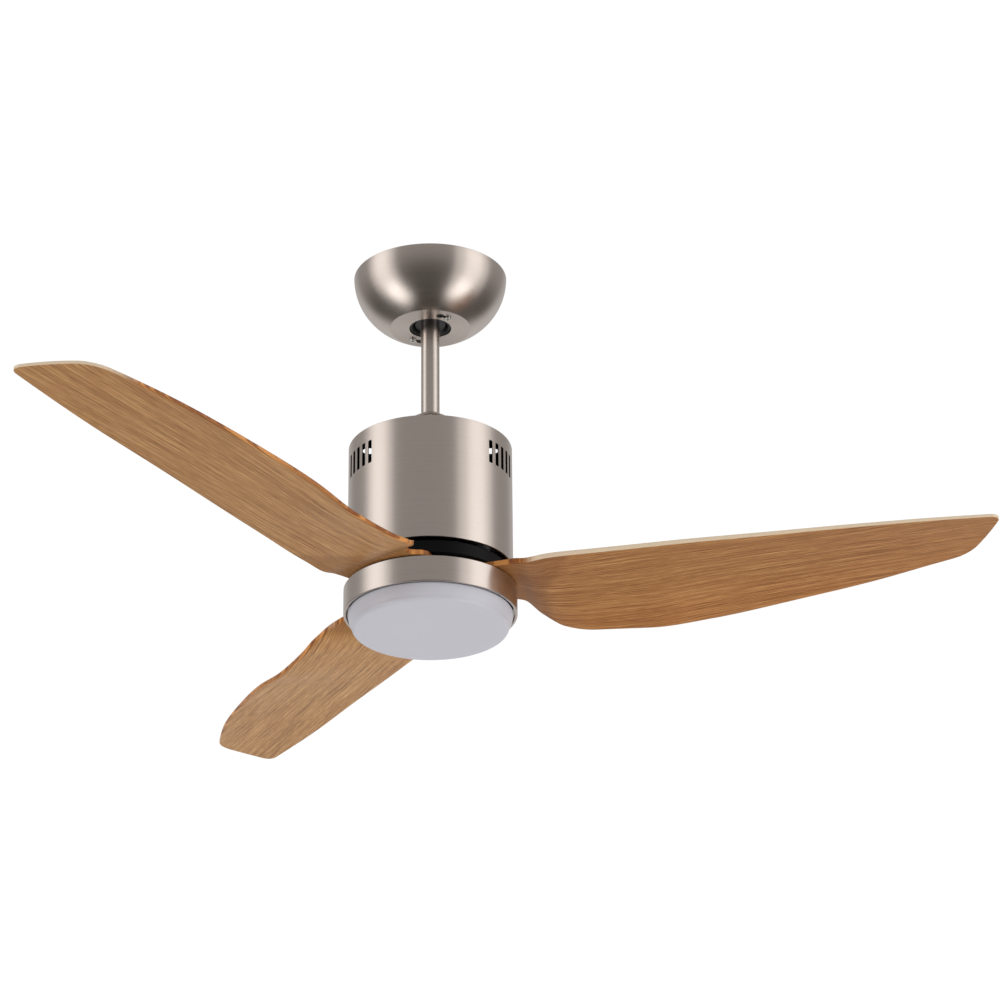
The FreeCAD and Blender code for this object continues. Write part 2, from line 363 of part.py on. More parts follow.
# ---------------------------------------------------------------- light
LP0, LP1 = -416.2, -414.8
lp = tube(98.4, SHAFT_R + 0.02, LP0, LP1)
lp = fuse([lp, tube(15.0, SHAFT_R + 0.02, LP0, LP1 + 1.6)])
for a in (30, 150, 270): lp = lp.cut(cyl(1.7, -425, -410, *polar(95.2, a)))
for a in (0, 90, 180, 270): lp = lp.cut(cyl(1.3, -425, -410, *polar(60.0, a)))
for a in (45, 225): lp = lp.cut(cyl(1.3, -425, -410, *polar(28.0, a)))
N["light_plate"] = lp
N["shaft_shoulder_ring"] = tube(14.0, SHAFT_R, -413.2, -407.0)
N["light_nut"] = hexprism(27.0, LP0 - 8.0, LP0).cut(cyl(SHAFT_R, -430, -410))
lr = [tube(RING_R, RING_R - RING_WALL, RING_BOT + 0.6, RING_TOP), tube(RING_R - 0.4, 98.6, RING_TOP - 1.0, RING_TOP), tube(RING_R - 0.3, 98.0, RING_BOT, RING_BOT + 1.0), tube(RING_R - 0.6, 93.0, -434.6, -433.6)]
for a in (30, 150, 270):
    lr.append(sector(RING_R - 0.6, 92.6, LP0 - 1.4, LP0, a - 4, a + 4))       # lugs that the light plate is screwed to
for a in (0, 120, 240):
    lr.append(sector(RING_R - 0.6, 94.4, -439.6, -438.2, a - 8, a + 8))       # shelves that carry the diffuser
lr = fuse(lr)
for a in (30, 150, 270): lr = lr.cut(cyl(1.7, -425, -410, *polar(95.2, a)))
N["light_ring"] = lr
N["ring_screws"] = comp([screw_down(*polar(95.2, a), LP0 - 1.4, 1.6, 4.4, 2.6, 1.6) for a in (30, 150, 270)])
N["led_board"] = tube(84.0, 34.0, -424.6, -423.0).cut(comp([cyl(1.3, -430, -420, *polar(60.0, a)) for a in (0, 90, 180, 270)]))
N["led_spacers"] = comp([tube(3.5, 1.3, -423.0, LP0, *polar(60.0, a)) for a in (0, 90, 180, 270)])
N["led_screws"] = comp([screw_down(*polar(60.0, a), -424.6, 1.25, 9.4, 2.6, 1.4) for a in (0, 90, 180, 270)])
chips = []
for r, n in ((44.0, 12), (56.0, 16), (68.0, 20), (78.0, 24)):
    for i in range(n):
        a = 360.0 * i / n + 11.0
        c = box(r - 1.4, -1.4, -425.4, r + 1.4, 1.4, -424.6)
        x, y = polar(r, a)
        if all((x - polar(60.0, q)[0]) ** 2 + (y - polar(60.0, q)[1]) ** 2 > 36 for q in (0, 90, 180, 270)): chips.append(turn(c, a))
N["led_chips"] = comp(chips)
drv = box(16.5, -11, -430.0, 31.0, 11, -416.2)
drv = drv.makeFillet(1.5, [e for e in drv.Edges if abs(e.BoundBox.ZLength - 13.8) < 1e-6])
N["led_driver"] = drv
N["light_leads"] = comp([cyl(1.4, -432.0, -279.0, 0, 3.4), cyl(1.4, -432.0, -279.0, 0, -3.4)])

# diffuser: opal bowl, widest just under the ring, with a neck inside the ring and three bayonet lugs
DT = -432.5
R, w, zs, ze, rb = DIFF_R, DIFF_WALL, -443.2, DIFF_BOT + 5.2, DIFF_R - 6.1     # neck radius, wall, top and foot of the belly, edge of the flat
RS = 96.0                                                         # widest, just under the ring's hem
q = math.sqrt(0.5)
mx, mz = (RS + 91.5) / 2 + 0.55, (zs + ze) / 2
fx, fz = rb + (91.5 - rb) * q, ze - (ze - DIFF_BOT) * q
dif = rev([ln((R, DT), (R, -441.4)), ln((R, -441.4), (RS - 0.9, -441.4)), arc((RS - 0.9, -441.4), (RS - 0.26, -441.75), (RS, zs)), arc((RS, zs), (mx, mz), (91.5, ze)),
           arc((91.5, ze), (fx, fz), (rb, DIFF_BOT)), ln((rb, DIFF_BOT), (0, DIFF_BOT)), ln((0, DIFF_BOT), (0, DIFF_BOT + w)), ln((0, DIFF_BOT + w), (rb - 0.4, DIFF_BOT + w)),
           arc((rb - 0.4, DIFF_BOT + w), (fx - 1.35, fz + 1.35), (91.5 - w, ze + 0.3)), arc((91.5 - w, ze + 0.3), (mx - w, mz), (RS - w - 0.25, -445.2)), ln((RS - w - 0.25, -445.2), (R - w, -443.4)),
           ln((R - w, -443.4), (R - w, DT)), ln((R - w, DT), (R, DT))])
lugs = [sector(97.6, R - 1.0, -437.8, -435.8, a - 7, a + 7) for a in (0, 120, 240)]
N["diffuser"] = fuse([dif] + lugs)

# ---------------------------------------------------------------- export
ok = True
for n, s in N.items():
    v = s.isValid(); sol = s.Solids
    if not v or not sol or any(x.Volume <= 0 for x in sol):
        print("BAD", n, v, len(sol)); ok = False
    s.exportStep("parts/%s.step" % n)
print("nodes", len(N), "ok", ok)
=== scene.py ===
import bpy, bmesh, math, json
import numpy as np
from mathutils import Vector, Matrix
from mathutils.geometry import delaunay_2d_cdt


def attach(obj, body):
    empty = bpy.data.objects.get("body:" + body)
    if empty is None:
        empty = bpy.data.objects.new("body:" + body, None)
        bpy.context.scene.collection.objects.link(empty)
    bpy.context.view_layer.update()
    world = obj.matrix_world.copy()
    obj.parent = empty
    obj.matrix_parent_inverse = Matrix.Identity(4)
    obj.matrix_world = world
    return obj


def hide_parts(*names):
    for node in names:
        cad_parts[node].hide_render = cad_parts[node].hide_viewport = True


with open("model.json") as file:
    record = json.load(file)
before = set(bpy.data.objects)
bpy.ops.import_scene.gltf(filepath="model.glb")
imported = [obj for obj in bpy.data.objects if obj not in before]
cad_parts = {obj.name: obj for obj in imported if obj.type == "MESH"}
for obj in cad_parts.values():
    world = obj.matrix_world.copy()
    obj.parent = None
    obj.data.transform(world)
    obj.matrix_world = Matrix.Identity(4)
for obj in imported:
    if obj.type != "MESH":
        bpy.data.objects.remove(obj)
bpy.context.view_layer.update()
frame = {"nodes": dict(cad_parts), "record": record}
NODES = frame["nodes"]
scene = bpy.context.scene
MM = 0.001
U = 0.0965

# ------------------------------------------------------------------ node helpers
class G:
    """Small builder for a material's node tree."""
    def __init__(self, name):
        self.m = bpy.data.materials.new(name); self.m.use_nodes = True
        self.t = self.m.node_tree; self.t.nodes.clear()
        self.out = self.t.nodes.new("ShaderNodeOutputMaterial")
        self.p = self.t.nodes.new("ShaderNodeBsdfPrincipled")
        self.t.links.new(self.p.outputs[0], self.out.inputs[0])
        self._c = None
    def n(self, kind, **kw):
        x = self.t.nodes.new(kind)
        for k, v in kw.items(): setattr(x, k, v)
        return x
    def link(self, a, b): self.t.links.new(a, b)
    def coord(self):
        if self._c is None: self._c = self.n("ShaderNodeTexCoord").outputs["Object"]
        return self._c
    def math(self, op, a, b=None, clamp=False):
        x = self.n("ShaderNodeMath", operation=op, use_clamp=clamp)
        for i, v in enumerate((a, b)):
            if v is None: continue
            if isinstance(v, (int, float)): x.inputs[i].default_value = v
            else: self.link(v, x.inputs[i])
        return x.outputs[0]
    def vec(self, x, y, z):
        c = self.n("ShaderNodeCombineXYZ")
        for i, v in enumerate((x, y, z)):
            if isinstance(v, (int, float)): c.inputs[i].default_value = v
            else: self.link(v, c.inputs[i])
        return c.outputs[0]
    def noise(self, vec, scale=1.0, detail=3.0, rough=0.5, dist=0.0):
        x = self.n("ShaderNodeTexNoise"); self.link(vec, x.inputs["Vector"])
        x.inputs["Scale"].default_value = scale; x.inputs["Detail"].default_value = detail
        x.inputs["Roughness"].default_value = rough; x.inputs["Distortion"].default_value = dist
        return x.outputs["Fac"]
    def ramp(self, fac, stops):
        x = self.n("ShaderNodeValToRGB"); self.link(fac, x.inputs[0])
        e = x.color_ramp.elements
        while len(e) < len(stops): e.new(0.5)
        for s, (p, c) in zip(e, stops):
            s.position = p; s.color = tuple(c) + (1.0,) if len(c) == 3 else c
        return x.outputs[0]
    def rng(self, fac, a, b, lo=0.0, hi=1.0, smooth=False):
        x = self.n("ShaderNodeMapRange"); self.link(fac, x.inputs["Value"])
        if smooth: x.interpolation_type = "SMOOTHSTEP"
        x.inputs["From Min"].default_value = lo; x.inputs["From Max"].default_value = hi
        x.inputs["To Min"].default_value = a; x.inputs["To Max"].default_value = b
        return x.outputs["Result"]
    def mix(self, fac, a, b, mode="MIX"):
        x = self.n("ShaderNodeMix", data_type="RGBA", blend_type=mode)
        for i, v in ((0, fac), (6, a), (7, b)):
            if isinstance(v, (int, float)): x.inputs[i].default_value = v
            elif isinstance(v, (tuple, list)): x.inputs[i].default_value = tuple(v) + ((1.0,) if len(v) == 3 else ())
            else: self.link(v, x.inputs[i])
        return x.outputs[2]
    def bump(self, height, strength, dist):
        x = self.n("ShaderNodeBump"); self.link(height, x.inputs["Height"])
        x.inputs["Strength"].default_value = strength; x.inputs["Distance"].default_value = dist
        self.link(x.outputs[0], self.p.inputs["Normal"]); return x
    def set(self, **kw):
        for k, v in kw.items():
            s = self.p.inputs[k.replace("_", " ")]
            if isinstance(v, (int, float, tuple)):
                s.default_value = v if not isinstance(v, tuple) or len(v) == 4 else v + (1.0,)
            else: self.link(v, s)
        return self

def polar_coords(g):
    s = g.n("ShaderNodeSeparateXYZ"); g.link(g.coord(), s.inputs[0])
    x, y, z = s.outputs
    r = g.math("SQRT", g.math("ADD", g.math("MULTIPLY", x, x), g.math("MULTIPLY", y, y)))
    a = g.math("ARCTAN2", y, x)
    return r, a, z

def brushed(name, base, rough=0.25, spread=0.06, aniso=0.6, line=1.0, tone=0.03, bump=0.05, flat=False):
    """Metal brushed round the fan's axis: long fine lines along the turn, spaced along the section."""
    g = G(name); r, a, z = polar_coords(g)
    nrm = g.n("ShaderNodeSeparateXYZ"); g.link(g.n("ShaderNodeTexCoord").outputs["Normal"], nrm.inputs[0])
    up = g.rng(g.math("ABSOLUTE", nrm.outputs[2]), 0.0, 1.0, 0.90, 0.97)          # 1 on flat faces, 0 on walls
    seam = g.math("ABSOLUTE", a)                     # mirrored so the lines meet at the back
    def lines(k, turn):
        w = g.noise(g.vec(g.math("MULTIPLY", seam, turn), 0.0, g.math("MULTIPLY", z, k * line)), 1.0, 3.0, 0.65)
        f = g.noise(g.vec(g.math("MULTIPLY", seam, turn), g.math("MULTIPLY", r, k * line), 7.0), 1.0, 3.0, 0.65)
        x = g.n("ShaderNodeMix"); g.link(up, x.inputs[0]); g.link(w, x.inputs[2]); g.link(f, x.inputs[3]); return x.outputs[0]
    fine, mid = lines(2200.0, 0.9), lines(850.0, 1.4)
    cloud = g.noise(g.coord(), 14.0, 2.0, 0.5)
    both = g.math("ADD", g.math("MULTIPLY", fine, 0.68), g.math("MULTIPLY", mid, 0.32))
    lo = tuple(c * (1 - tone) for c in base); hi = tuple(min(1.0, c * (1 + tone)) for c in base)
    col = g.mix(g.rng(both, 0.0, 1.0, 0.35, 0.65), lo, hi)
    col = g.mix(g.rng(cloud, 0.0, 0.08, 0.3, 0.8), col, tuple(c * 0.85 for c in base))
    g.set(Base_Color=col, Metallic=1.0, Anisotropic=aniso, Anisotropic_Rotation=0.25,
          Roughness=g.math("ADD", g.rng(both, rough - spread / 2, rough + spread / 2, 0.3, 0.7), g.rng(cloud, 0.0, 0.02)))
    tg = g.n("ShaderNodeTangent", direction_type="RADIAL", axis="Z"); g.link(tg.outputs[0], g.p.inputs["Tangent"])
    g.bump(both, bump, 0.00004)
    return g.m

def grained(name, base, metallic, rough, scale=900.0, tone=0.08, bump=0.08, var=0.06, coat=0.0, spec=0.5, blotch=30.0):
    """Plain moulded, cast, painted or ground surface: fine grain, slow tone change and uneven gloss."""
    g = G(name)
    fine = g.noise(g.coord(), scale, 3.0, 0.6); slow = g.noise(g.coord(), blotch, 3.0, 0.55)
    lo = tuple(max(0.0, c * (1 - tone)) for c in base); hi = tuple(min(1.0, c * (1 + tone)) for c in base)
    col = g.mix(g.rng(slow, 0.0, 1.0, 0.3, 0.7), lo, hi)
    col = g.mix(g.rng(fine, 0.0, 0.25, 0.4, 0.7), col, tuple(c * 0.7 for c in base))
    g.set(Base_Color=col, Metallic=metallic, Roughness=g.math("ADD", g.rng(fine, rough - var, rough + var, 0.3, 0.7), g.rng(slow, -0.02, 0.04)))
    g.p.inputs["Specular IOR Level"].default_value = spec
    g.p.inputs["Coat Weight"].default_value = coat
    g.bump(fine, bump, 0.00008)
    return g.m

M = {}
M["satin_nickel"] = brushed("satin_nickel", (0.690, 0.620, 0.572), 0.30, 0.05, 0.60, tone=0.06, bump=0.05)
M["black_steel"] = grained("black_steel", (0.012, 0.012, 0.013), 0.0, 0.36, 1600.0, 0.2, 0.15, spec=0.4)
M["zinc_steel"] = grained("zinc_steel", (0.60, 0.61, 0.62), 1.0, 0.34, 500.0, 0.10, 0.10)
M["bright_screw"] = grained("bright_screw", (0.80, 0.79, 0.76), 1.0, 0.20, 900.0, 0.05, 0.04)
M["earth_brass"] = grained("earth_brass", (0.74, 0.56, 0.24), 1.0, 0.28, 700.0)
M["black_plastic"] = grained("black_plastic", (0.018, 0.018, 0.020), 0.0, 0.38, 1400.0, 0.2, 0.12)
M["terminal_plastic"] = grained("terminal_plastic", (0.80, 0.80, 0.77), 0.0, 0.42, 1200.0, 0.03, 0.05)
M["black_hub"] = grained("black_hub", (0.004, 0.004, 0.0045), 0.0, 0.42, 1800.0, 0.2, 0.06, spec=0.12)
M["motor_aluminium"] = grained("motor_aluminium", (0.68, 0.68, 0.69), 1.0, 0.42, 650.0, 0.10, 0.20)
M["bearing_steel"] = grained("bearing_steel", (0.70, 0.70, 0.71), 1.0, 0.14, 900.0, 0.04, 0.03)
M["rubber_washer"] = grained("rubber_washer", (0.02, 0.02, 0.02), 0.0, 0.62, 900.0, 0.2, 0.15)
M["magnet_ferrite"] = grained("magnet_ferrite", (0.055, 0.055, 0.06), 0.0, 0.55, 600.0, 0.2, 0.2)
M["lead_sleeve"] = grained("lead_sleeve", (0.05, 0.05, 0.055), 0.0, 0.45, 1100.0, 0.2, 0.1)
M["capacitor_can"] = grained("capacitor_can", (0.05, 0.06, 0.10), 0.0, 0.28, 900.0, 0.1, 0.04)
M["white_steel"] = grained("white_steel", (0.80, 0.80, 0.79), 0.0, 0.40, 1500.0, 0.03, 0.10)
M["led_board_white"] = grained("led_board_white", (0.83, 0.83, 0.81), 0.0, 0.30, 1500.0, 0.02, 0.04)
M["led_phosphor"] = grained("led_phosphor", (0.85, 0.66, 0.16), 0.0, 0.22, 1500.0, 0.05, 0.02)

def laminations():
    g = G("electrical_steel"); r, a, z = polar_coords(g)
    w = g.n("ShaderNodeTexWave", wave_type="BANDS", bands_direction="Z"); g.link(g.coord(), w.inputs["Vector"])
    w.inputs["Scale"].default_value = 320.0; w.inputs["Distortion"].default_value = 0.2
    nz = g.noise(g.coord(), 400.0, 3.0)
    g.set(Base_Color=g.mix(g.rng(nz, 0.0, 1.0), (0.22, 0.22, 0.24), (0.34, 0.34, 0.36)), Metallic=1.0, Roughness=g.rng(nz, 0.40, 0.55))
    g.bump(w.outputs["Fac"], 0.4, 0.0001); return g.m
M["electrical_steel"] = laminations()
def winding():
    g = G("copper_winding"); r, a, z = polar_coords(g)
    w = g.n("ShaderNodeTexWave", wave_type="BANDS", bands_direction="X"); g.link(g.vec(r, 0.0, 0.0), w.inputs["Vector"])
    w.inputs["Scale"].default_value = 380.0
    nz = g.noise(g.coord(), 250.0, 3.0)
    g.set(Base_Color=g.mix(g.rng(nz, 0.0, 1.0), (0.50, 0.17, 0.06), (0.72, 0.30, 0.12)), Metallic=0.85, Roughness=g.rng(nz, 0.22, 0.36))
    g.bump(w.outputs["Fac"], 0.8, 0.0003); return g.m
M["copper_winding"] = winding()
def board():
    g = G("circuit_board")
    v = g.n("ShaderNodeTexVoronoi", feature="DISTANCE_TO_EDGE"); g.link(g.coord(), v.inputs["Vector"]); v.inputs["Scale"].default_value = 260.0
    t = g.rng(v.outputs["Distance"], 1.0, 0.0, 0.03, 0.07)
    nz = g.noise(g.coord(), 60.0, 2.0)
    g.set(Base_Color=g.mix(t, g.mix(g.rng(nz, 0.0, 1.0), (0.012, 0.10, 0.045), (0.02, 0.15, 0.07)), (0.05, 0.24, 0.10)), Roughness=g.rng(nz, 0.22, 0.34))
    g.bump(t, 0.2, 0.0001); return g.m
M["circuit_board"] = board()

def opal():
    g = G("opal_diffuser")
    slow = g.noise(g.coord(), 9.0, 2.0); fine = g.noise(g.coord(), 1600.0, 2.0)
    col = g.mix(g.rng(slow, 0.0, 1.0, 0.3, 0.7), (0.675, 0.684, 0.760), (0.692, 0.701, 0.774))
    g.set(Base_Color=col, Roughness=g.rng(fine, 0.30, 0.36, 0.3, 0.7))
    g.p.inputs["Subsurface Weight"].default_value = 0.0
    g.p.inputs["Specular IOR Level"].default_value = 0.45
    g.bump(fine, 0.03, 0.00004); return g.m
M["opal_diffuser"] = opal()

def oak():
    """Light oak decor, with painted light in the colour: a cream highlight on edge A, a darker root, a warmer B side
    and a tone per blade. The mesh carries (along, across) in metres in the map named grain, and rim in a colour
    attribute.
    """
    g = G("blade_oak")
    uv = g.n("ShaderNodeUVMap", uv_map="grain").outputs[0]
    s = g.n("ShaderNodeSeparateXYZ"); g.link(uv, s.inputs[0]); u, v = s.outputs[0], s.outputs[1]
    at = g.n("ShaderNodeAttribute", attribute_name="mask"); sa = g.n("ShaderNodeSeparateColor"); g.link(at.outputs["Color"], sa.inputs[0])
    rim, root, bside = sa.outputs
    # slow waviness of the grain, stronger in the stretched patch at the root
    wob = g.noise(g.vec(g.math("MULTIPLY", u, 5.0), g.math("MULTIPLY", v, 16.0), 0.0), 1.0, 2.0, 0.5)
    wob2 = g.noise(g.vec(g.math("MULTIPLY", u, 34.0), g.math("MULTIPLY", v, 40.0), 3.0), 1.0, 2.0, 0.5)
    off = g.math("ADD", g.math("MULTIPLY", g.math("SUBTRACT", wob, 0.5), 0.003),
                 g.math("MULTIPLY", g.math("MULTIPLY", g.math("SUBTRACT", wob2, 0.5), 0.018), root))
    vv = g.math("ADD", v, off)
    def streak(ku, kv, det, z0, rough=0.6): return g.noise(g.vec(g.math("MULTIPLY", u, ku), g.math("MULTIPLY", vv, kv), z0), 1.0, det, rough)
    fine = streak(11.0, 900.0, 3.0, 1.0, 0.7)        # hair-fine pores
    mid = streak(3.2, 380.0, 3.0, 5.0, 0.6)          # 3-6 mm streaks
    wide = streak(2.0, 55.0, 2.0, 9.0, 0.5)          # boards of lighter and darker wood
    tick = streak(60.0, 700.0, 2.0, 13.0, 0.5)       # short pores
    f = g.math("ADD", g.math("ADD", g.math("MULTIPLY", fine, 0.52), g.math("MULTIPLY", mid, 0.24)), g.math("ADD", g.math("MULTIPLY", wide, 0.08), g.math("MULTIPLY", tick, 0.16)))
    col = g.ramp(g.rng(f, 0.0, 1.0, 0.39, 0.61), [(0.0, OAK[0]), (0.38, OAK[1]), (0.70, OAK[2]), (1.0, OAK[3])])
    dark = g.rng(mid, 0.0, 0.35, 0.62, 0.80)
    col = g.mix(dark, col, OAK[0], "MIX")
    # painted shade: towards the root the wood is mixed, up to 0.45, with a darker brown
    col = g.mix(g.math("MULTIPLY", root, 0.45), col, OAK_ROOT_SHADE)
    # painted light: towards edge B (v from 0 to 0.10 m) the colour is warmed, up to 0.45 of (1.12, 1.0, 0.86), standing
    # for warm light from below on that half
    col = g.mix(g.rng(v, 0.0, 0.45, 0.0, 0.10, True), col, g.mix(1.0, col, (1.12, 1.0, 0.86), "MULTIPLY"))
    # painted light: each blade copy is multiplied by its own tone, the first darker and warmer, the second lighter and
    # cooler, the third a little lighter, standing for the light each one gets
    second_blade_light = g.rng(u, 0.0, 1.0, 1.2, 1.4); third_blade_light = g.rng(u, 0.0, 1.0, 2.9, 3.1)      # the blades are 1.7 apart in u
    tone = g.mix(third_blade_light, g.mix(second_blade_light, (0.86, 0.78, 0.67), (1.03, 1.14, 1.22)), (0.91, 0.98, 1.00))
    col = g.mix(1.0, col, tone, "MULTIPLY")
    edge_b = g.mix(g.rng(mid, 0.0, 1.0, 0.42, 0.58), OAK_RIM_B[0], OAK_RIM_B[1])
    # edge band: the bright cream on edge A is a painted highlight; edge B and the root nub keep an orange-brown wood
    # edge with streaks
    col = g.mix(g.math("MULTIPLY", rim, 0.9), col, g.mix(bside, OAK_RIM_HIGHLIGHT, edge_b))
    g.set(Base_Color=col, Roughness=g.math("ADD", g.rng(f, 0.50, 0.40, 0.35, 0.65), g.math("MULTIPLY", rim, -0.08)))
    g.p.inputs["Specular IOR Level"].default_value = 0.42
    g.bump(f, 0.22, 0.00018)
    return g.m
def srgb(r, g_, b):
    f = lambda c: (c / 255.0 / 12.92) if c <= 10 else ((c / 255.0 + 0.055) / 1.055) ** 2.4
    return (f(r), f(g_), f(b))
OAK = [srgb(130, 84, 42), srgb(178, 124, 72), srgb(206, 152, 96), srgb(234, 186, 128)]
OAK_ROOT_SHADE = srgb(146, 92, 46)
OAK_RIM_HIGHLIGHT = srgb(255, 235, 205)
OAK_RIM_B = [srgb(150, 84, 34), srgb(236, 160, 84)]
M["blade_oak"] = oak()

# ------------------------------------------------------------------ mesh helpers
def add(name, verts, faces, mat, body, replaces=None, smooth=True, sharp=35.0, weighted=True):
    me = bpy.data.meshes.new(name); me.from_pydata([tuple(v) for v in verts], [], [tuple(f) for f in faces]); me.validate(clean_customdata=False)
    o = bpy.data.objects.new(name, me); scene.collection.objects.link(o)
    me.materials.append(M[mat])
    finish_mesh(o, smooth, sharp, weighted)
    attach(o, body)
    if replaces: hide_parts(*replaces)
    return o
def finish_mesh(o, smooth=True, sharp=35.0, weighted=True):
    me = o.data
    me.polygons.foreach_set("use_smooth", [smooth] * len(me.polygons))
    if smooth and sharp: me.set_sharp_from_angle(angle=math.radians(sharp))
    if weighted:
        w = o.modifiers.new("wn", "WEIGHTED_NORMAL"); w.keep_sharp = True; w.weight = 50
def round_profile(pts, seg=5):
    """pts: (r, z, radius) of a closed section; corners are replaced with arcs of that radius."""
    out = []; n = len(pts)
    for i in range(n):
        p = np.array(pts[i][:2]); rad = pts[i][2] if len(pts[i]) > 2 else 0.0
        if rad <= 0: out.append(tuple(p)); continue
        a = np.array(pts[i - 1][:2]) - p; b = np.array(pts[(i + 1) % n][:2]) - p
        la, lb = np.linalg.norm(a), np.linalg.norm(b); a, b = a / la, b / lb
        ang = math.acos(max(-1, min(1, float(a @ b))))
        t = min(rad / math.tan(ang / 2), la * 0.48, lb * 0.48); rr = t * math.tan(ang / 2)
        c = p + (a + b) / np.linalg.norm(a + b) * (rr / math.sin(ang / 2))
        s, e = p + a * t - c, p + b * t - c
        a0, a1 = math.atan2(s[1], s[0]), math.atan2(e[1], e[0]); d = (a1 - a0 + math.pi) % (2 * math.pi) - math.pi
        for k in range(seg + 1):
            q = a0 + d * k / seg; out.append((c[0] + rr * math.cos(q), c[1] + rr * math.sin(q)))
    return out
def lathe_data(prof, seg=192, a0=0.0, a1=360.0, closed=True):
    """Closed (r, z) section in mm turned about Z; a part turn gets end caps."""
    full = abs(a1 - a0 - 360.0) < 1e-6; n = len(prof); V_, F = [], []
    m = seg if full else seg + 1
    for i in range(m):
        a = math.radians(a0 + (a1 - a0) * i / seg); c, s = math.cos(a), math.sin(a)
        V_ += [(r * c * MM, r * s * MM, z * MM) for r, z in prof]
    area = sum(prof[i][0] * prof[(i + 1) % n][1] - prof[(i + 1) % n][0] * prof[i][1] for i in range(n))
    rng_ = range(seg)
    for i in rng_:
        j = (i + 1) % m
        for k in range(n if closed else n - 1):
            l = (k + 1) % n
            f = (i * n + k, j * n + k, j * n + l, i * n + l)
            F.append(f if area > 0 else f[::-1])
    if not full:
        c0 = tuple(range(n)); c1 = tuple((m - 1) * n + k for k in range(n))
        F.append(c0[::-1] if area < 0 else c0); F.append(c1 if area < 0 else c1[::-1])
    return V_, F
def join_data(parts):
    V_, F = [], []
    for v, f in parts:
        b = len(V_); V_ += list(v); F += [tuple(b + i for i in q) for q in f]
    return V_, F
def clean(o, dist=1e-6):
    bm = bmesh.new(); bm.from_mesh(o.data)
    bmesh.ops.remove_doubles(bm, verts=bm.verts, dist=dist)
    bmesh.ops.dissolve_degenerate(bm, edges=bm.edges, dist=1e-7)
    bmesh.ops.recalc_face_normals(bm, faces=bm.faces)
    bm.to_mesh(o.data); bm.free()
def axis_clean(V_, F):
    """merge the vertices that fall on the axis"""
    bm = bmesh.new(); vs = [bm.verts.new(v) for v in V_]
    for f in F:
        try: bm.faces.new([vs[i] for i in f])
        except ValueError: pass
    bmesh.ops.remove_doubles(bm, verts=bm.verts, dist=2e-6)
    bmesh.ops.recalc_face_normals(bm, faces=bm.faces)
    me = bpy.data.meshes.new("tmp"); bm.to_mesh(me); bm.free()
    out = ([tuple(v.co) for v in me.vertices], [tuple(p.vertices) for p in me.polygons]); bpy.data.meshes.remove(me)
    return out
def cut(V_, F, tools):
    """exact boolean difference of closed meshes"""
    def mk(n, v, f):
        me = bpy.data.meshes.new(n); me.from_pydata(v, [], f); o = bpy.data.objects.new(n, me); scene.collection.objects.link(o)
        bm = bmesh.new(); bm.from_mesh(me); bmesh.ops.recalc_face_normals(bm, faces=bm.faces); bm.to_mesh(me); bm.free(); return o
    base = mk("b", V_, F); tv, tf = join_data(tools); t = mk("t", tv, tf)
    m = base.modifiers.new("x", "BOOLEAN"); m.operation = "DIFFERENCE"; m.solver = "EXACT"; m.object = t
    bpy.context.view_layer.update()
    dg = bpy.context.evaluated_depsgraph_get(); me = bpy.data.meshes.new_from_object(base.evaluated_get(dg))
    out = ([tuple(v.co) for v in me.vertices], [tuple(p.vertices) for p in me.polygons])
    for o in (base, t):
        d = o.data; bpy.data.objects.remove(o); bpy.data.meshes.remove(d)
    bpy.data.meshes.remove(me); return out
def slot_tool(w, h, x0, x1, z0, az, r=0.9, seg=5):
    """upright slot tool with slightly rounded corners, pushed from radius x0 to x1 at azimuth az (mm, degrees)"""
    pts = []
    for cx, cz, a0 in ((w / 2 - r, z0 + h - r, 0), (-w / 2 + r, z0 + h - r, 90), (-w / 2 + r, z0 + r, 180), (w / 2 - r, z0 + r, 270)):
        for k in range(seg + 1): q = math.radians(a0 + 90 * k / seg); pts.append((cx + r * math.cos(q), cz + r * math.sin(q)))
    n = len(pts); a = math.radians(az); c, s = math.cos(a), math.sin(a); V_ = []
    for x in (x0, x1): V_ += [((x * c - y * s) * MM, (x * s + y * c) * MM, z * MM) for y, z in pts]
    F = [tuple(range(n))[::-1], tuple(range(n, 2 * n))] + [(i, (i + 1) % n, n + (i + 1) % n, n + i) for i in range(n)]
    return V_, F
def prism(poly, z0, z1):
    n = len(poly); V_ = [(x * MM, y * MM, z * MM) for z in (z0, z1) for x, y in poly]
    F = [tuple(range(n))[::-1], tuple(range(n, 2 * n))] + [(i, (i + 1) % n, n + (i + 1) % n, n + i) for i in range(n)]
    return V_, F
def circle(r, x=0, y=0, n=40): return [(x + r * math.cos(2 * math.pi * k / n), y + r * math.sin(2 * math.pi * k / n)) for k in range(n)]

def cspline(pts, n):
    """C2 interpolating spline through pts by chord length, natural ends"""
    P = np.array(pts, float); t = np.concatenate([[0], np.cumsum(np.hypot(*np.diff(P, axis=0).T))]); N_ = len(t); h = np.diff(t)
    A = np.zeros((N_, N_)); B = np.zeros((N_, 2)); A[0, 0] = A[-1, -1] = 1
    for i in range(1, N_ - 1):
        A[i, i - 1], A[i, i], A[i, i + 1] = h[i - 1], 2 * (h[i - 1] + h[i]), h[i]
        B[i] = 6 * ((P[i + 1] - P[i]) / h[i] - (P[i] - P[i - 1]) / h[i - 1])
    m = np.linalg.solve(A, B); s = np.linspace(0, t[-1], n); i = np.clip(np.searchsorted(t, s, side="right") - 1, 0, N_ - 2)
    a, b = (t[i + 1] - s)[:, None], (s - t[i])[:, None]; H = h[i][:, None]
    return m[i] * a ** 3 / (6 * H) + m[i + 1] * b ** 3 / (6 * H) + (P[i] / H - m[i] * H / 6) * a + (P[i + 1] / H - m[i + 1] * H / 6) * b
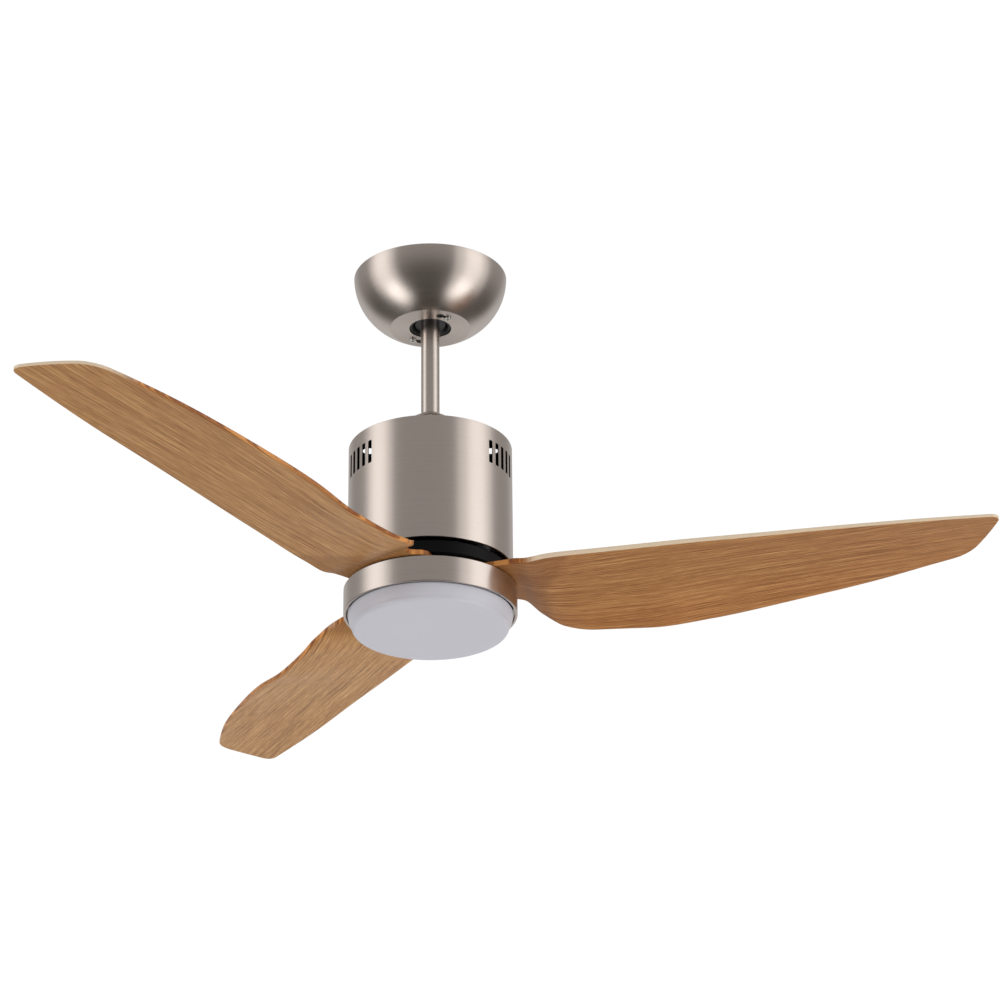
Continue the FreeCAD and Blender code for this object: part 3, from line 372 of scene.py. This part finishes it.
# ------------------------------------------------------------------ canopy
CR, CH, CW, CF, CHOLE = 91.9, 66.6, 1.2, 48.2, 25.1
def arc3(a, m, b, n):
    a, m, b = map(np.array, (a, m, b)); A = np.array([m - a, b - a]) * 2; rhs = np.array([m @ m - a @ a, b @ b - a @ a])
    c = np.linalg.solve(A, rhs); r = np.linalg.norm(a - c)
    t0 = math.atan2(*(a - c)[::-1]); t1 = math.atan2(*(b - c)[::-1]); tm = math.atan2(*(m - c)[::-1])
    d = (t1 - t0 + math.pi) % (2 * math.pi) - math.pi
    return [(c[0] + r * math.cos(t0 + d * i / n), c[1] + r * math.sin(t0 + d * i / n)) for i in range(n + 1)]
outer = arc3((CR, -0.6), (77.2, -43.2), (CF, -CH), 40)
inner = arc3((CF - 0.5, -CH + CW), (76.2, -42.4), (CR - CW, -0.6), 24)
prof = [(p[0], p[1], 0.35 if i == 0 else 0.0) for i, p in enumerate(outer[:-1])] + [(CF, -CH, 1.6), (CHOLE, -CH, 0.35), (CHOLE, -CH + CW, 0.35)] + [(p[0], p[1], 0.35 if i == len(inner) - 1 else 0.0) for i, p in enumerate(inner)]
V_, F = lathe_data(round_profile(prof, 5), 240)
KR, KA, KT = 34.7, -53.0, 17.0
tools = []
for k in (0, 180):
    key = []
    a1, a0 = math.radians(KA + k), math.radians(KA - KT + k); rb, rs = 4.7, 2.4
    big = (KR * math.cos(a0), KR * math.sin(a0)); sm = (KR * math.cos(a1), KR * math.sin(a1))
    half = math.asin(rs / rb); tang = a0 + math.pi / 2                  # direction of travel at the wide hole
    for q in np.linspace(tang + half, tang + 2 * math.pi - half, 30): key.append((big[0] + rb * math.cos(q), big[1] + rb * math.sin(q)))
    off = math.atan2(math.sqrt(rb * rb - rs * rs), KR)
    for q in np.linspace(a0 + off, a1, 8)[1:]: key.append(((KR + rs) * math.cos(q), (KR + rs) * math.sin(q)))
    for q in np.linspace(0, math.pi, 12)[1:-1]: key.append((sm[0] + rs * math.cos(a1 + q), sm[1] + rs * math.sin(a1 + q)))
    for q in np.linspace(a1, a0 + off, 8)[:-1]: key.append(((KR - rs) * math.cos(q), (KR - rs) * math.sin(q)))
    tools.append(prism(key, -CH - 3, -CH + 5))
V_, F = cut(V_, F, tools)
add("canopy_shell", V_, F, "satin_nickel", "canopy", ["canopy"])

# ------------------------------------------------------------------ housing, ring, diffuser, cover, rod
HR, HW, HT, HB = 96.5, 1.0, -230.5, -385.0
prof = round_profile([(HR, HT, 0.45), (90.0, HT, 0.3), (90.0, HT - 1.0, 0.0), (HR - HW, HT - 1.0, 0.0), (HR - HW, HB + 1.0, 0.0), (94.2, HB + 1.0, 0.0), (94.2, HB, 0.3), (HR, HB, 0.45)], 4)
# 360 segments so that the cuts stay local
V_, F = lathe_data(prof, 360)
tools = []
for g0 in (-150.5, -29.5, 90.0):
    for i in (-2, -1, 0, 1, 2): tools.append(slot_tool(6.0, 29.0, 80, 110, HT - 18.0 - 29.0, g0 + i * 6.85))
hs = [prism(circle(1.3, 92.7 * math.cos(math.radians(a)), 92.7 * math.sin(math.radians(a)), 16), -240, -225) for a in (30, 150, 270)]
V_, F = cut(V_, F, tools + hs)
drum = add("housing_drum", V_, F, "satin_nickel", "hanging_unit", ["housing_shell"], weighted=True)
drum.data.materials.append(M["black_steel"])                      # painted shade: the inside wall gets the black material so that the vents read dark
for pl in drum.data.polygons:
    if all(math.hypot(drum.data.vertices[i].co.x, drum.data.vertices[i].co.y) < 0.0957 for i in pl.vertices) and pl.center.z < -0.2311 and pl.center.z > -0.3842: pl.material_index = 1
# drop rod: a tube with the two pin holes, and the coupling cover: a turned bell
RT_, RB_ = -10.0, -260.4
V_, F = lathe_data(round_profile([(11.0, RB_, 0.4), (11.0, RT_, 0.4), (9.0, RT_, 0.3), (9.0, RB_, 0.3)], 3), 128)
def cyl_x(r, x0, x1, z, n=28):
    V_ = [(x * MM, r * math.cos(2 * math.pi * k / n) * MM, (z + r * math.sin(2 * math.pi * k / n)) * MM) for x in (x0, x1) for k in range(n)]
    return V_, [tuple(range(n))[::-1], tuple(range(n, 2 * n))] + [(i, (i + 1) % n, n + (i + 1) % n, n + i) for i in range(n)]
V_, F = cut(V_, F, [cyl_x(3.0, -20, 20, -32.0), cyl_x(3.05, -20, 20, -250.0)])
add("rod_tube", V_, F, "satin_nickel", "hanging_unit", ["downrod"])
zb = HT + 0.3; CCH = 46.5
bo = [(38.0, 0.0), (37.4, 10.0), (34.0, 24.0), (27.5, 36.0), (19.5, CCH - 4.6), (12.6, CCH)]
bi = [(36.6, 0.0), (36.0, 10.0), (32.6, 24.0 - 0.84), (27.5 - 1.12, 36.0 - 1.26), (19.5, CCH - 6.0), (12.6, CCH - 1.4)]
po = [tuple(q) for q in cspline([(a_, zb + b_) for a_, b_ in bo], 60)] + [(11.9, zb + CCH + 0.15), (11.4, zb + CCH - 0.2), (11.4, zb + CCH - 1.5)] + [tuple(q) for q in cspline([(a_, zb + b_) for a_, b_ in bi], 40)[::-1]]
V_, F = lathe_data(po, 160)
add("coupling_bell", V_, F, "satin_nickel", "coupling_cover", ["coupling_cover"])

RR, RT, RB = 101.0, -411.2, -442.5
ring = lathe_data(round_profile([(RR, RT, 0.9), (98.6, RT, 0.3), (98.6, RT - 1.0, 0.0), (RR - 1.2, RT - 1.0, 0.0), (RR - 1.2, -433.6, 0.0), (93.0, -433.6, 0.2), (93.0, -434.6, 0.2), (RR - 1.2, -434.6, 0.0),
                                 (RR - 1.2, RB + 1.0, 0.0), (98.0, RB + 1.0, 0.2), (98.0, RB, 0.35), (RR, RB, 0.9)], 5), 256)
parts = [ring]
for a in (30, 150, 270):
    sec = lathe_data(round_profile([(RR - 0.7, -417.6, 0.0), (RR - 0.7, -416.2, 0.0), (92.6, -416.2, 0.2), (92.6, -417.6, 0.2)], 2), 6, a - 4, a + 4)
    hole = prism(circle(1.7, 95.2 * math.cos(math.radians(a)), 95.2 * math.sin(math.radians(a)), 16), -420, -414)
    parts.append(cut(sec[0], sec[1], [hole]))
for a in (0, 120, 240):
    parts.append(lathe_data(round_profile([(RR - 0.7, -439.6, 0.0), (RR - 0.7, -438.2, 0.0), (94.4, -438.2, 0.2), (94.4, -439.6, 0.2)], 2), 10, a - 8, a + 8))
V_, F = join_data(parts)
add("ring_band", V_, F, "satin_nickel", "hanging_unit", ["light_ring"])

DR, DB, DW, DT = 91.9, -461.7, 2.0, -432.5
RS, zs, ze, rb = 96.0, -443.2, DB + 5.2, DR - 6.1
mx, mz = (RS + 91.5) / 2 + 0.55, (zs + ze) / 2; fx, fz = rb + (91.5 - rb) * math.sqrt(0.5), ze - (ze - DB) * math.sqrt(0.5)
po = [(0.0, DB), (30.0, DB), (60.0, DB), (78.0, DB)] + arc3((rb, DB), (fx, fz), (91.5, ze), 14) + arc3((91.5, ze), (mx, mz), (RS, zs), 12)[1:] + arc3((RS, zs), (RS - 0.26, -441.75), (RS - 0.9, -441.4), 5)[1:]
po += [(DR, -441.4), (DR, DT - 0.5), (DR - 0.5, DT), (DR - DW + 0.5, DT), (DR - DW, DT - 0.5), (DR - DW, -443.4)]
po += arc3((RS - DW - 0.25, -445.2), (mx - DW, mz), (91.5 - DW, ze + 0.3), 8) + arc3((91.5 - DW, ze + 0.3), (fx - 1.35, fz + 1.35), (rb - 0.4, DB + DW), 8)[1:] + [(60.0, DB + DW), (0.0, DB + DW)]
shell = axis_clean(*lathe_data(po, 240))
parts = [shell]
for a in (0, 120, 240):
    parts.append(lathe_data(round_profile([(DR - 0.9, -437.8, 0.0), (97.6, -437.8, 0.3), (97.6, -435.8, 0.3), (DR - 0.9, -435.8, 0.0)], 3), 8, a - 7, a + 7))
V_, F = join_data(parts)
add("diffuser_drum", V_, F, "opal_diffuser", "diffuser", ["diffuser"])

# ------------------------------------------------------------------ blades
PAD_Z, PAD_T = -409.2, 6.5
Z0 = HB
UB = 96.5
EDGE_A = [(0.50, -0.50), (0.80, -0.535), (0.98, -0.562), (1.20, -0.612), (1.50, -0.640), (2.13, -0.610), (3.10, -0.547), (4.13, -0.465), (5.35, -0.378), (6.20, -0.288), (6.865, -0.198)]
EDGE_B = [(0.50, 0.50), (0.66, 0.575), (0.78, 0.60), (0.87, 0.545), (0.95, 0.478), (1.03, 0.500), (1.14, 0.655), (1.28, 0.815), (1.50, 0.938), (1.90, 0.992), (2.43, 1.030), (3.30, 1.100), (4.27, 1.052), (5.356, 0.930), (6.02, 0.790), (6.44, 0.687)]
FLAT = (PAD_Z - Z0) / UB
SECT = [(0.3, FLAT, FLAT, PAD_T), (0.75, FLAT, FLAT, PAD_T), (1.08, FLAT, FLAT, PAD_T), (1.25, -0.27, -0.345, 6.4), (1.5, -0.245, -0.455, 6.2), (1.9, -0.22, -0.5, 6.0), (2.5, -0.175, -0.488, 5.8), (3.3, -0.118, -0.386, 5.5), (4.27, -0.058, -0.264, 5.0), (5.35, 0.001, -0.142, 4.5), (6.2, 0.05, -0.039, 4.1), (7.1, 0.094, 0.066, 3.7)]
S_ = np.array(SECT)
def pchip(xs, ys, x):
    xs, ys = np.asarray(xs, float), np.asarray(ys, float); x = np.asarray(x, float)
    h = np.diff(xs); d = np.diff(ys) / h; m = np.zeros(len(xs)); m[0], m[-1] = d[0], d[-1]
    for i in range(1, len(xs) - 1):
        if d[i - 1] * d[i] > 0:
            w1, w2 = 2 * h[i] + h[i - 1], h[i] + 2 * h[i - 1]; m[i] = (w1 + w2) / (w1 / d[i - 1] + w2 / d[i])
    i = np.clip(np.searchsorted(xs, x, side="right") - 1, 0, len(xs) - 2); t = (x - xs[i]) / h[i]
    return ys[i] * (1 + 2 * t) * (1 - t) ** 2 + m[i] * h[i] * t * (1 - t) ** 2 + ys[i + 1] * t * t * (3 - 2 * t) + m[i + 1] * h[i] * t * t * (t - 1)
def under(u, v):
    za, zb = pchip(S_[:, 0], S_[:, 1], u), pchip(S_[:, 0], S_[:, 2], u)
    k = np.clip((u - 1.2) / 0.8, 0, 1) * (1 - 0.7 * np.clip((u - 5.0) / 2.0, 0, 1)); w = (v - 0.2) / 0.85
    return za + (zb - za) * (v + 0.6) / 1.5 + 0.030 * k * np.clip(1 - w * w, 0, None)
def thick(u, v): return pchip(S_[:, 0], S_[:, 3], u) + 0 * v
def corner(poly, k, r):
    """round corner k of a dense polyline with radius r"""
    P = np.array(poly); c = P[k]; n = len(P)
    def unit(step, dist):
        acc, i = 0.0, k
        while acc < dist: j = (i + step) % n; acc += np.linalg.norm(P[j] - P[i]); i = j
        return P[i], i
    pa, _ = unit(-1, 10.0); pb, _ = unit(1, 10.0)
    a, b = (pa - c) / np.linalg.norm(pa - c), (pb - c) / np.linalg.norm(pb - c)
    ang = math.acos(float(a @ b)); t = r / math.tan(ang / 2)
    pa, ia = unit(-1, t); pb, ib = unit(1, t)
    q = np.linspace(0, 1, 12)[:, None]; w = math.sin(ang / 2)             # rational quadratic = true arc
    arc = ((1 - q) ** 2 * pa + 2 * w * q * (1 - q) * c + q ** 2 * pb) / ((1 - q) ** 2 + 2 * w * q * (1 - q) + q ** 2)
    return pa, ia, arc, ib
def resample(P, n):
    s = np.concatenate([[0], np.cumsum(np.hypot(*np.diff(P, axis=0).T))]); t = np.linspace(0, s[-1], n)
    return np.stack([np.interp(t, s, P[:, 0]), np.interp(t, s, P[:, 1])], 1)
MR, KR_ = 240, 40                                                  # rows along the blade, columns across it
def planform():
    """outline as four chains: edge A out to the tip, the end, edge B back, the root line"""
    A = cspline(EDGE_A, 400) * UB; B = cspline(EDGE_B, 440) * UB
    T, S = A[-1], B[-1]; d = S - T; L = np.linalg.norm(d); n = np.array([d[1], -d[0]]) / L
    if n[0] < 0: n = -n
    rad = (L * L / 4 + 9.0) / 6.0; cen = (T + S) / 2 + n * (3.0 - rad)
    t0, t1 = math.atan2(*(T - cen)[::-1]), math.atan2(*(S - cen)[::-1])
    E = np.array([cen + rad * np.array([math.cos(q), math.sin(q)]) for q in np.linspace(t0, t1, 80)])[1:-1]
    poly = np.concatenate([A, E, B[::-1]]); kT, kS = len(A) - 1, len(A) + len(E)
    _, ia, arcT, ib = corner(poly, kT, 10.0); _, ja, arcS, jb = corner(poly, kS, 50.0)
    ca = np.concatenate([poly[:ia], arcT[:7]]); ce = np.concatenate([arcT[6:], poly[ib + 1:ja], arcS[:7]]); cb = np.concatenate([arcS[6:], poly[jb + 1:]])
    return resample(ca, MR + 1), resample(ce, KR_ + 1), resample(cb, MR + 1), resample(np.array([poly[-1], poly[0]]), KR_ + 1)
def blade_mesh():
    ca, ce, cb, cr = planform()
    P = np.concatenate([ca[:-1], ce[:-1], cb[:-1], cr[:-1]]); n = len(P)
    t = np.roll(P, -1, 0) - np.roll(P, 1, 0); t /= np.linalg.norm(t, axis=1)[:, None]; nin = np.stack([-t[:, 1], t[:, 0]], 1)   # inward, the outline runs counter-clockwise
    for _ in range(3): nin = (np.roll(nin, 1, 0) + 2 * nin + np.roll(nin, -1, 0)) / 4
    nin /= np.linalg.norm(nin, axis=1)[:, None]
    u, v = P[:, 0] / UB, P[:, 1] / UB
    isB = np.clip((v - 0.3) / 0.25, 0, 1) * np.clip((u - 1.05) / 0.30, 0, 1) * np.clip((6.35 - u) / 0.5, 0, 1)
    T = thick(u, v)
    rb_in = 1.2 + 2.6 * isB; rb_up = np.minimum(1.1 + 0.9 * isB, T * 0.45); rt = np.minimum(0.9, T * 0.3)
    def loop(ins, top, f):
        q = P + nin * ins[:, None]; uu, vv = q[:, 0] / UB, q[:, 1] / UB
        return np.column_stack([q, Z0 + under(uu, vv) * UB + (thick(uu, vv) if top else 0.0) + f])
    loops = []
    for q in (0, 18, 36, 54, 72, 90): th = math.radians(q); loops.append(loop(rb_in * (1 - math.sin(th)), False, rb_up * (1 - math.cos(th))))
    for q in (90, 60, 30, 0): th = math.radians(q); loops.append(loop(rt * (1 - math.sin(th)), True, -rt * (1 - math.cos(th))))
    V_ = [tuple(p) for p in np.concatenate(loops)]; nl = len(loops); F = []
    for k in range(nl - 1):
        for i in range(n):
            j = (i + 1) % n; F.append((k * n + i, k * n + j, (k + 1) * n + j, (k + 1) * n + i))
    for ring, top in ((0, False), (nl - 1, True)):
        b0 = ring * n; idx = np.zeros((MR + 1, KR_ + 1), int)
        a_i = [b0 + i for i in range(MR)] + [b0 + MR]                       # edge A, ending at the tip corner
        e_i = [b0 + MR + i for i in range(KR_)] + [b0 + MR + KR_]
        b_i = [b0 + MR + KR_ + i for i in range(MR)] + [b0 + 2 * MR + KR_]
        r_i = [b0 + 2 * MR + KR_ + i for i in range(KR_)] + [b0]
        idx[:, 0] = a_i; idx[:, KR_] = b_i[::-1]; idx[MR, :] = e_i; idx[0, :] = r_i[::-1]
        XY = np.array([V_[i][:2] for i in a_i]); XB = np.array([V_[i][:2] for i in b_i[::-1]])
        E_ = np.array([V_[i][:2] for i in e_i]); w_ = np.linspace(0, 1, KR_ + 1)[:, None]; bend = E_ - (E_[0] + (E_[-1] - E_[0]) * w_)
        pts = []
        for r_ in range(1, MR):
            fade = max(0.0, 1 - (MR - r_) / 50.0) ** 1.5                # rows near the tip bend to follow the end
            row = XY[r_] + (XB[r_] - XY[r_]) * w_ + bend * fade
            for c_ in range(1, KR_): idx[r_, c_] = len(V_) + len(pts); pts.append(row[c_])
        pts = np.array(pts); uu, vv = pts[:, 0] / UB, pts[:, 1] / UB
        V_ += [tuple(q) for q in np.column_stack([pts, Z0 + under(uu, vv) * UB + (thick(uu, vv) if top else 0.0)])]
        for r_ in range(MR):
            for c_ in range(KR_):
                f = (idx[r_, c_], idx[r_, c_ + 1], idx[r_ + 1, c_ + 1], idx[r_ + 1, c_])
                F.append(f)
    mask = np.zeros((len(V_), 3))
    for k in range(nl):
        w = {0: 0.0, 1: 0.15, 2: 0.5, 3: 0.85}.get(k, 1.0)
        if k == nl - 1: w = 0.0
        mask[k * n:(k + 1) * n, 0] = w; mask[k * n:(k + 1) * n, 2] = np.maximum(isB, np.clip((1.38 - u) / 0.16, 0, 1))
    A = np.array(V_); uu, vv = A[:, 0] / UB, A[:, 1] / UB
    mask[:, 1] = np.clip((1.42 + 0.50 * np.clip(0.15 - vv, 0, 1.0) - uu) / 0.10, 0, 1)      # the root patch reaches further out on the leading side; it carries the stretched grain and the painted shade at the root
    return V_, F, mask
BV, BF, BM = blade_mesh()
bm = bmesh.new(); vs = [bm.verts.new((x * MM, y * MM, z * MM)) for x, y, z in BV]
for f in BF:
    try: bm.faces.new([vs[i] for i in f])
    except ValueError: pass
bm.verts.index_update(); bmesh.ops.recalc_face_normals(bm, faces=bm.faces)
tmp = bpy.data.meshes.new("blade_form"); bm.to_mesh(tmp); bm.free()
co = np.array([tuple(v.co) for v in tmp.vertices]); fc = [tuple(p.vertices) for p in tmp.polygons]
for k in range(3):
    a = math.radians(-9.87 + 120 * k); c, s = math.cos(a), math.sin(a)
    W = np.column_stack([co[:, 0] * c - co[:, 1] * s, co[:, 0] * s + co[:, 1] * c, co[:, 2]])
    me = bpy.data.meshes.new("oak_blade_%d" % (k + 1)); me.from_pydata([tuple(p) for p in W], [], fc)
    o = bpy.data.objects.new(me.name, me); scene.collection.objects.link(o); me.materials.append(M["blade_oak"])
    uvl = me.uv_layers.new(name="grain"); li = np.array([l.vertex_index for l in me.loops])
    uvs = np.column_stack([co[li, 0] + 1.7 * k, co[li, 1] + 0.43 * k]); uvl.data.foreach_set("uv", uvs.ravel().astype(np.float32))
    ca = me.color_attributes.new("mask", "FLOAT_COLOR", "POINT"); cc = np.column_stack([BM, np.ones(len(BM))]); ca.data.foreach_set("color", cc.ravel().astype(np.float32))
    finish_mesh(o, True, 50.0, False)
    o.visible_glossy = k == 0            # only the first blade shows in the brushed metal
    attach(o, "rotor"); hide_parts("blade_%d" % (k + 1))

# ------------------------------------------------------------------ finishes of the nodes that stay as the frame has them
slots = {s["node"]: s["material_slot"] for s in frame["record"]["subparts"]}
replaced = {"canopy", "housing_shell", "downrod", "coupling_cover", "light_ring", "diffuser", "blade_1", "blade_2", "blade_3"}
for name, o in NODES.items():
    if name in replaced: continue
    me = o.data; mat = M[slots[name]]
    if len(me.materials) == 0: me.materials.append(mat)
    for i in range(len(me.materials)): me.materials[i] = mat
    for i in range(len(o.material_slots)): o.material_slots[i].material = mat

# ------------------------------------------------------------------ camera
def cam_axes(yaw, pitch, roll):
    f = Vector((math.sin(yaw) * math.cos(pitch), math.cos(yaw) * math.cos(pitch), math.sin(pitch)))
    r = Vector((math.cos(yaw), -math.sin(yaw), 0)); u = r.cross(f)
    return math.cos(roll) * r + math.sin(roll) * u, -math.sin(roll) * r + math.cos(roll) * u, f
cam = bpy.data.objects.new("cam", bpy.data.cameras.new("cam")); scene.collection.objects.link(cam); scene.camera = cam
r2, u2, f2 = cam_axes(math.radians(1.21), math.radians(25.29), math.radians(-0.55))
m3 = Matrix((r2, u2, -f2)).transposed()
cam.matrix_world = Matrix.Translation(Vector((0, -40.14 * U, (-18.03 - 3.99) * U))) @ m3.to_4x4()
cam.data.lens = 3645 * 36 / 1000; cam.data.sensor_width = 36; cam.data.clip_start = 0.05; cam.data.clip_end = 100

# ------------------------------------------------------------------ stage and light
fl = bpy.data.meshes.new("floor"); fl.from_pydata([(-14, -14, -7.2), (14, -14, -7.2), (14, 14, -7.2), (-14, 14, -7.2)], [], [(0, 1, 2, 3)])
floor = bpy.data.objects.new("floor", fl); scene.collection.objects.link(floor)
g = G("floor_pale"); nz = g.noise(g.coord(), 3.0, 2.0)
g.set(Base_Color=g.mix(g.rng(nz, 0.0, 1.0), (0.80, 0.80, 0.80), (0.84, 0.84, 0.84)), Roughness=g.rng(nz, 0.7, 0.8)); fl.materials.append(g.m)
floor.visible_glossy = False

def panel(name, pos, look, sx, sy, radiance, color=(1, 1, 1), glossy=True, diffuse=1.0):
    L = bpy.data.lights.new(name, "AREA"); L.shape = "RECTANGLE"; L.size, L.size_y = sx, sy
    L.energy = radiance * math.pi * sx * sy; L.color = color
    o = bpy.data.objects.new(name, L); scene.collection.objects.link(o); o.location = pos
    o.rotation_mode = "QUATERNION"; o.rotation_quaternion = (Vector(look) - Vector(pos)).to_track_quat("-Z", "Y")
    o.visible_camera = False; o.visible_glossy = glossy
    L.diffuse_factor = diffuse
    return o
C = Vector((0, 0, -0.30))
def at(az, dist, z): a = math.radians(az - 90); return (dist * math.cos(a), dist * math.sin(a), z)
WARM = (1.0, 0.985, 0.97)
panel("core_left", at(-76, 3.0, -1.5), (0, 0, -1.5), 1.3, 7.4, 0.50, WARM)
panel("wide_left", at(-76, 3.1, -1.5), (0, 0, -1.5), 2.6, 7.4, 0.55, WARM)
panel("core_right", at(68, 3.0, -1.5), (0, 0, -1.5), 1.5, 7.4, 0.50, WARM)
panel("wide_right", at(66, 3.1, -1.5), (0, 0, -1.5), 3.4, 7.4, 0.55, WARM)
panel("front_fill", (0.0, -3.6, 0.5), (0, 0, -0.4), 3.0, 1.6, 1.30, glossy=False)
panel("low_left", at(-74, 3.0, -3.4), (0, 0, -0.4), 1.9, 3.2, 0.95, WARM, diffuse=0.15)
panel("low_right", at(68, 3.0, -3.4), (0, 0, -0.4), 2.2, 3.2, 0.95, WARM, diffuse=0.15)
panel("back_left", at(-150, 3.2, 0.2), (0, 0, -0.3), 0.9, 3.0, 0.6, glossy=False)
panel("back_right", at(150, 3.2, 0.2), (0, 0, -0.3), 0.9, 3.0, 0.6, glossy=False)
panel("fill_low_front", (0.1, -1.7, -2.7), (0, 0, -0.40), 2.6, 2.2, 0.14, (1, 1, 1), glossy=False)
panel("fill_low_back", (1.3, 1.5, -2.6), (0, 0.2, -0.40), 2.2, 2.0, 0.85, (1, 1, 1), glossy=False)

w = bpy.data.worlds.new("studio"); scene.world = w; w.use_nodes = True; t = w.node_tree; t.nodes.clear()
def wn(kind, **kw):
    x = t.nodes.new(kind)
    for k, v in kw.items(): setattr(x, k, v)
    return x
out = wn("ShaderNodeOutputWorld"); bg = wn("ShaderNodeBackground"); bg2 = wn("ShaderNodeBackground"); mx_ = wn("ShaderNodeMixShader"); lp = wn("ShaderNodeLightPath")
bg2.inputs[0].default_value = (1, 1, 1, 1); bg2.inputs[1].default_value = 1.02
sp = wn("ShaderNodeSeparateXYZ"); t.links.new(wn("ShaderNodeTexCoord").outputs["Generated"], sp.inputs[0])
def wramp(sock, lo, hi, stops):
    mr = wn("ShaderNodeMapRange"); t.links.new(sock, mr.inputs["Value"]); mr.inputs["From Min"].default_value = lo; mr.inputs["From Max"].default_value = hi
    r_ = wn("ShaderNodeValToRGB"); t.links.new(mr.outputs["Result"], r_.inputs[0]); e = r_.color_ramp.elements
    while len(e) < len(stops): e.new(0.5)
    for q, (p_, c_) in zip(e, stops): q.position = p_; q.color = tuple(c_) + (1,)
    return r_.outputs[0]
front = wramp(sp.outputs[2], -1, 1, [(0.0, (0.085, 0.08, 0.075)), (0.36, (0.10, 0.095, 0.09)), (0.48, (0.24, 0.225, 0.215)), (0.62, (0.34, 0.325, 0.315)), (1.0, (0.40, 0.39, 0.38))])
back = wramp(sp.outputs[2], -1, 1, [(0.0, (0.35, 0.34, 0.33)), (0.25, (0.60, 0.59, 0.58)), (0.5, (0.62, 0.61, 0.60)), (1.0, (0.45, 0.45, 0.45))])
bw = wn("ShaderNodeMapRange"); bw.interpolation_type = "SMOOTHSTEP"; t.links.new(sp.outputs[1], bw.inputs["Value"]); bw.inputs["From Min"].default_value = 0.62; bw.inputs["From Max"].default_value = 0.86
wm = wn("ShaderNodeMix", data_type="RGBA"); t.links.new(bw.outputs["Result"], wm.inputs[0]); t.links.new(front, wm.inputs[6]); t.links.new(back, wm.inputs[7])
t.links.new(wm.outputs[2], bg.inputs[0]); bg.inputs[1].default_value = 1.0
t.links.new(lp.outputs["Is Camera Ray"], mx_.inputs[0]); t.links.new(bg.outputs[0], mx_.inputs[1]); t.links.new(bg2.outputs[0], mx_.inputs[2]); t.links.new(mx_.outputs[0], out.inputs[0])
scene.view_settings.view_transform = "Standard"; scene.view_settings.look = "None"; scene.view_settings.exposure = 0.0; scene.view_settings.gamma = 1.0
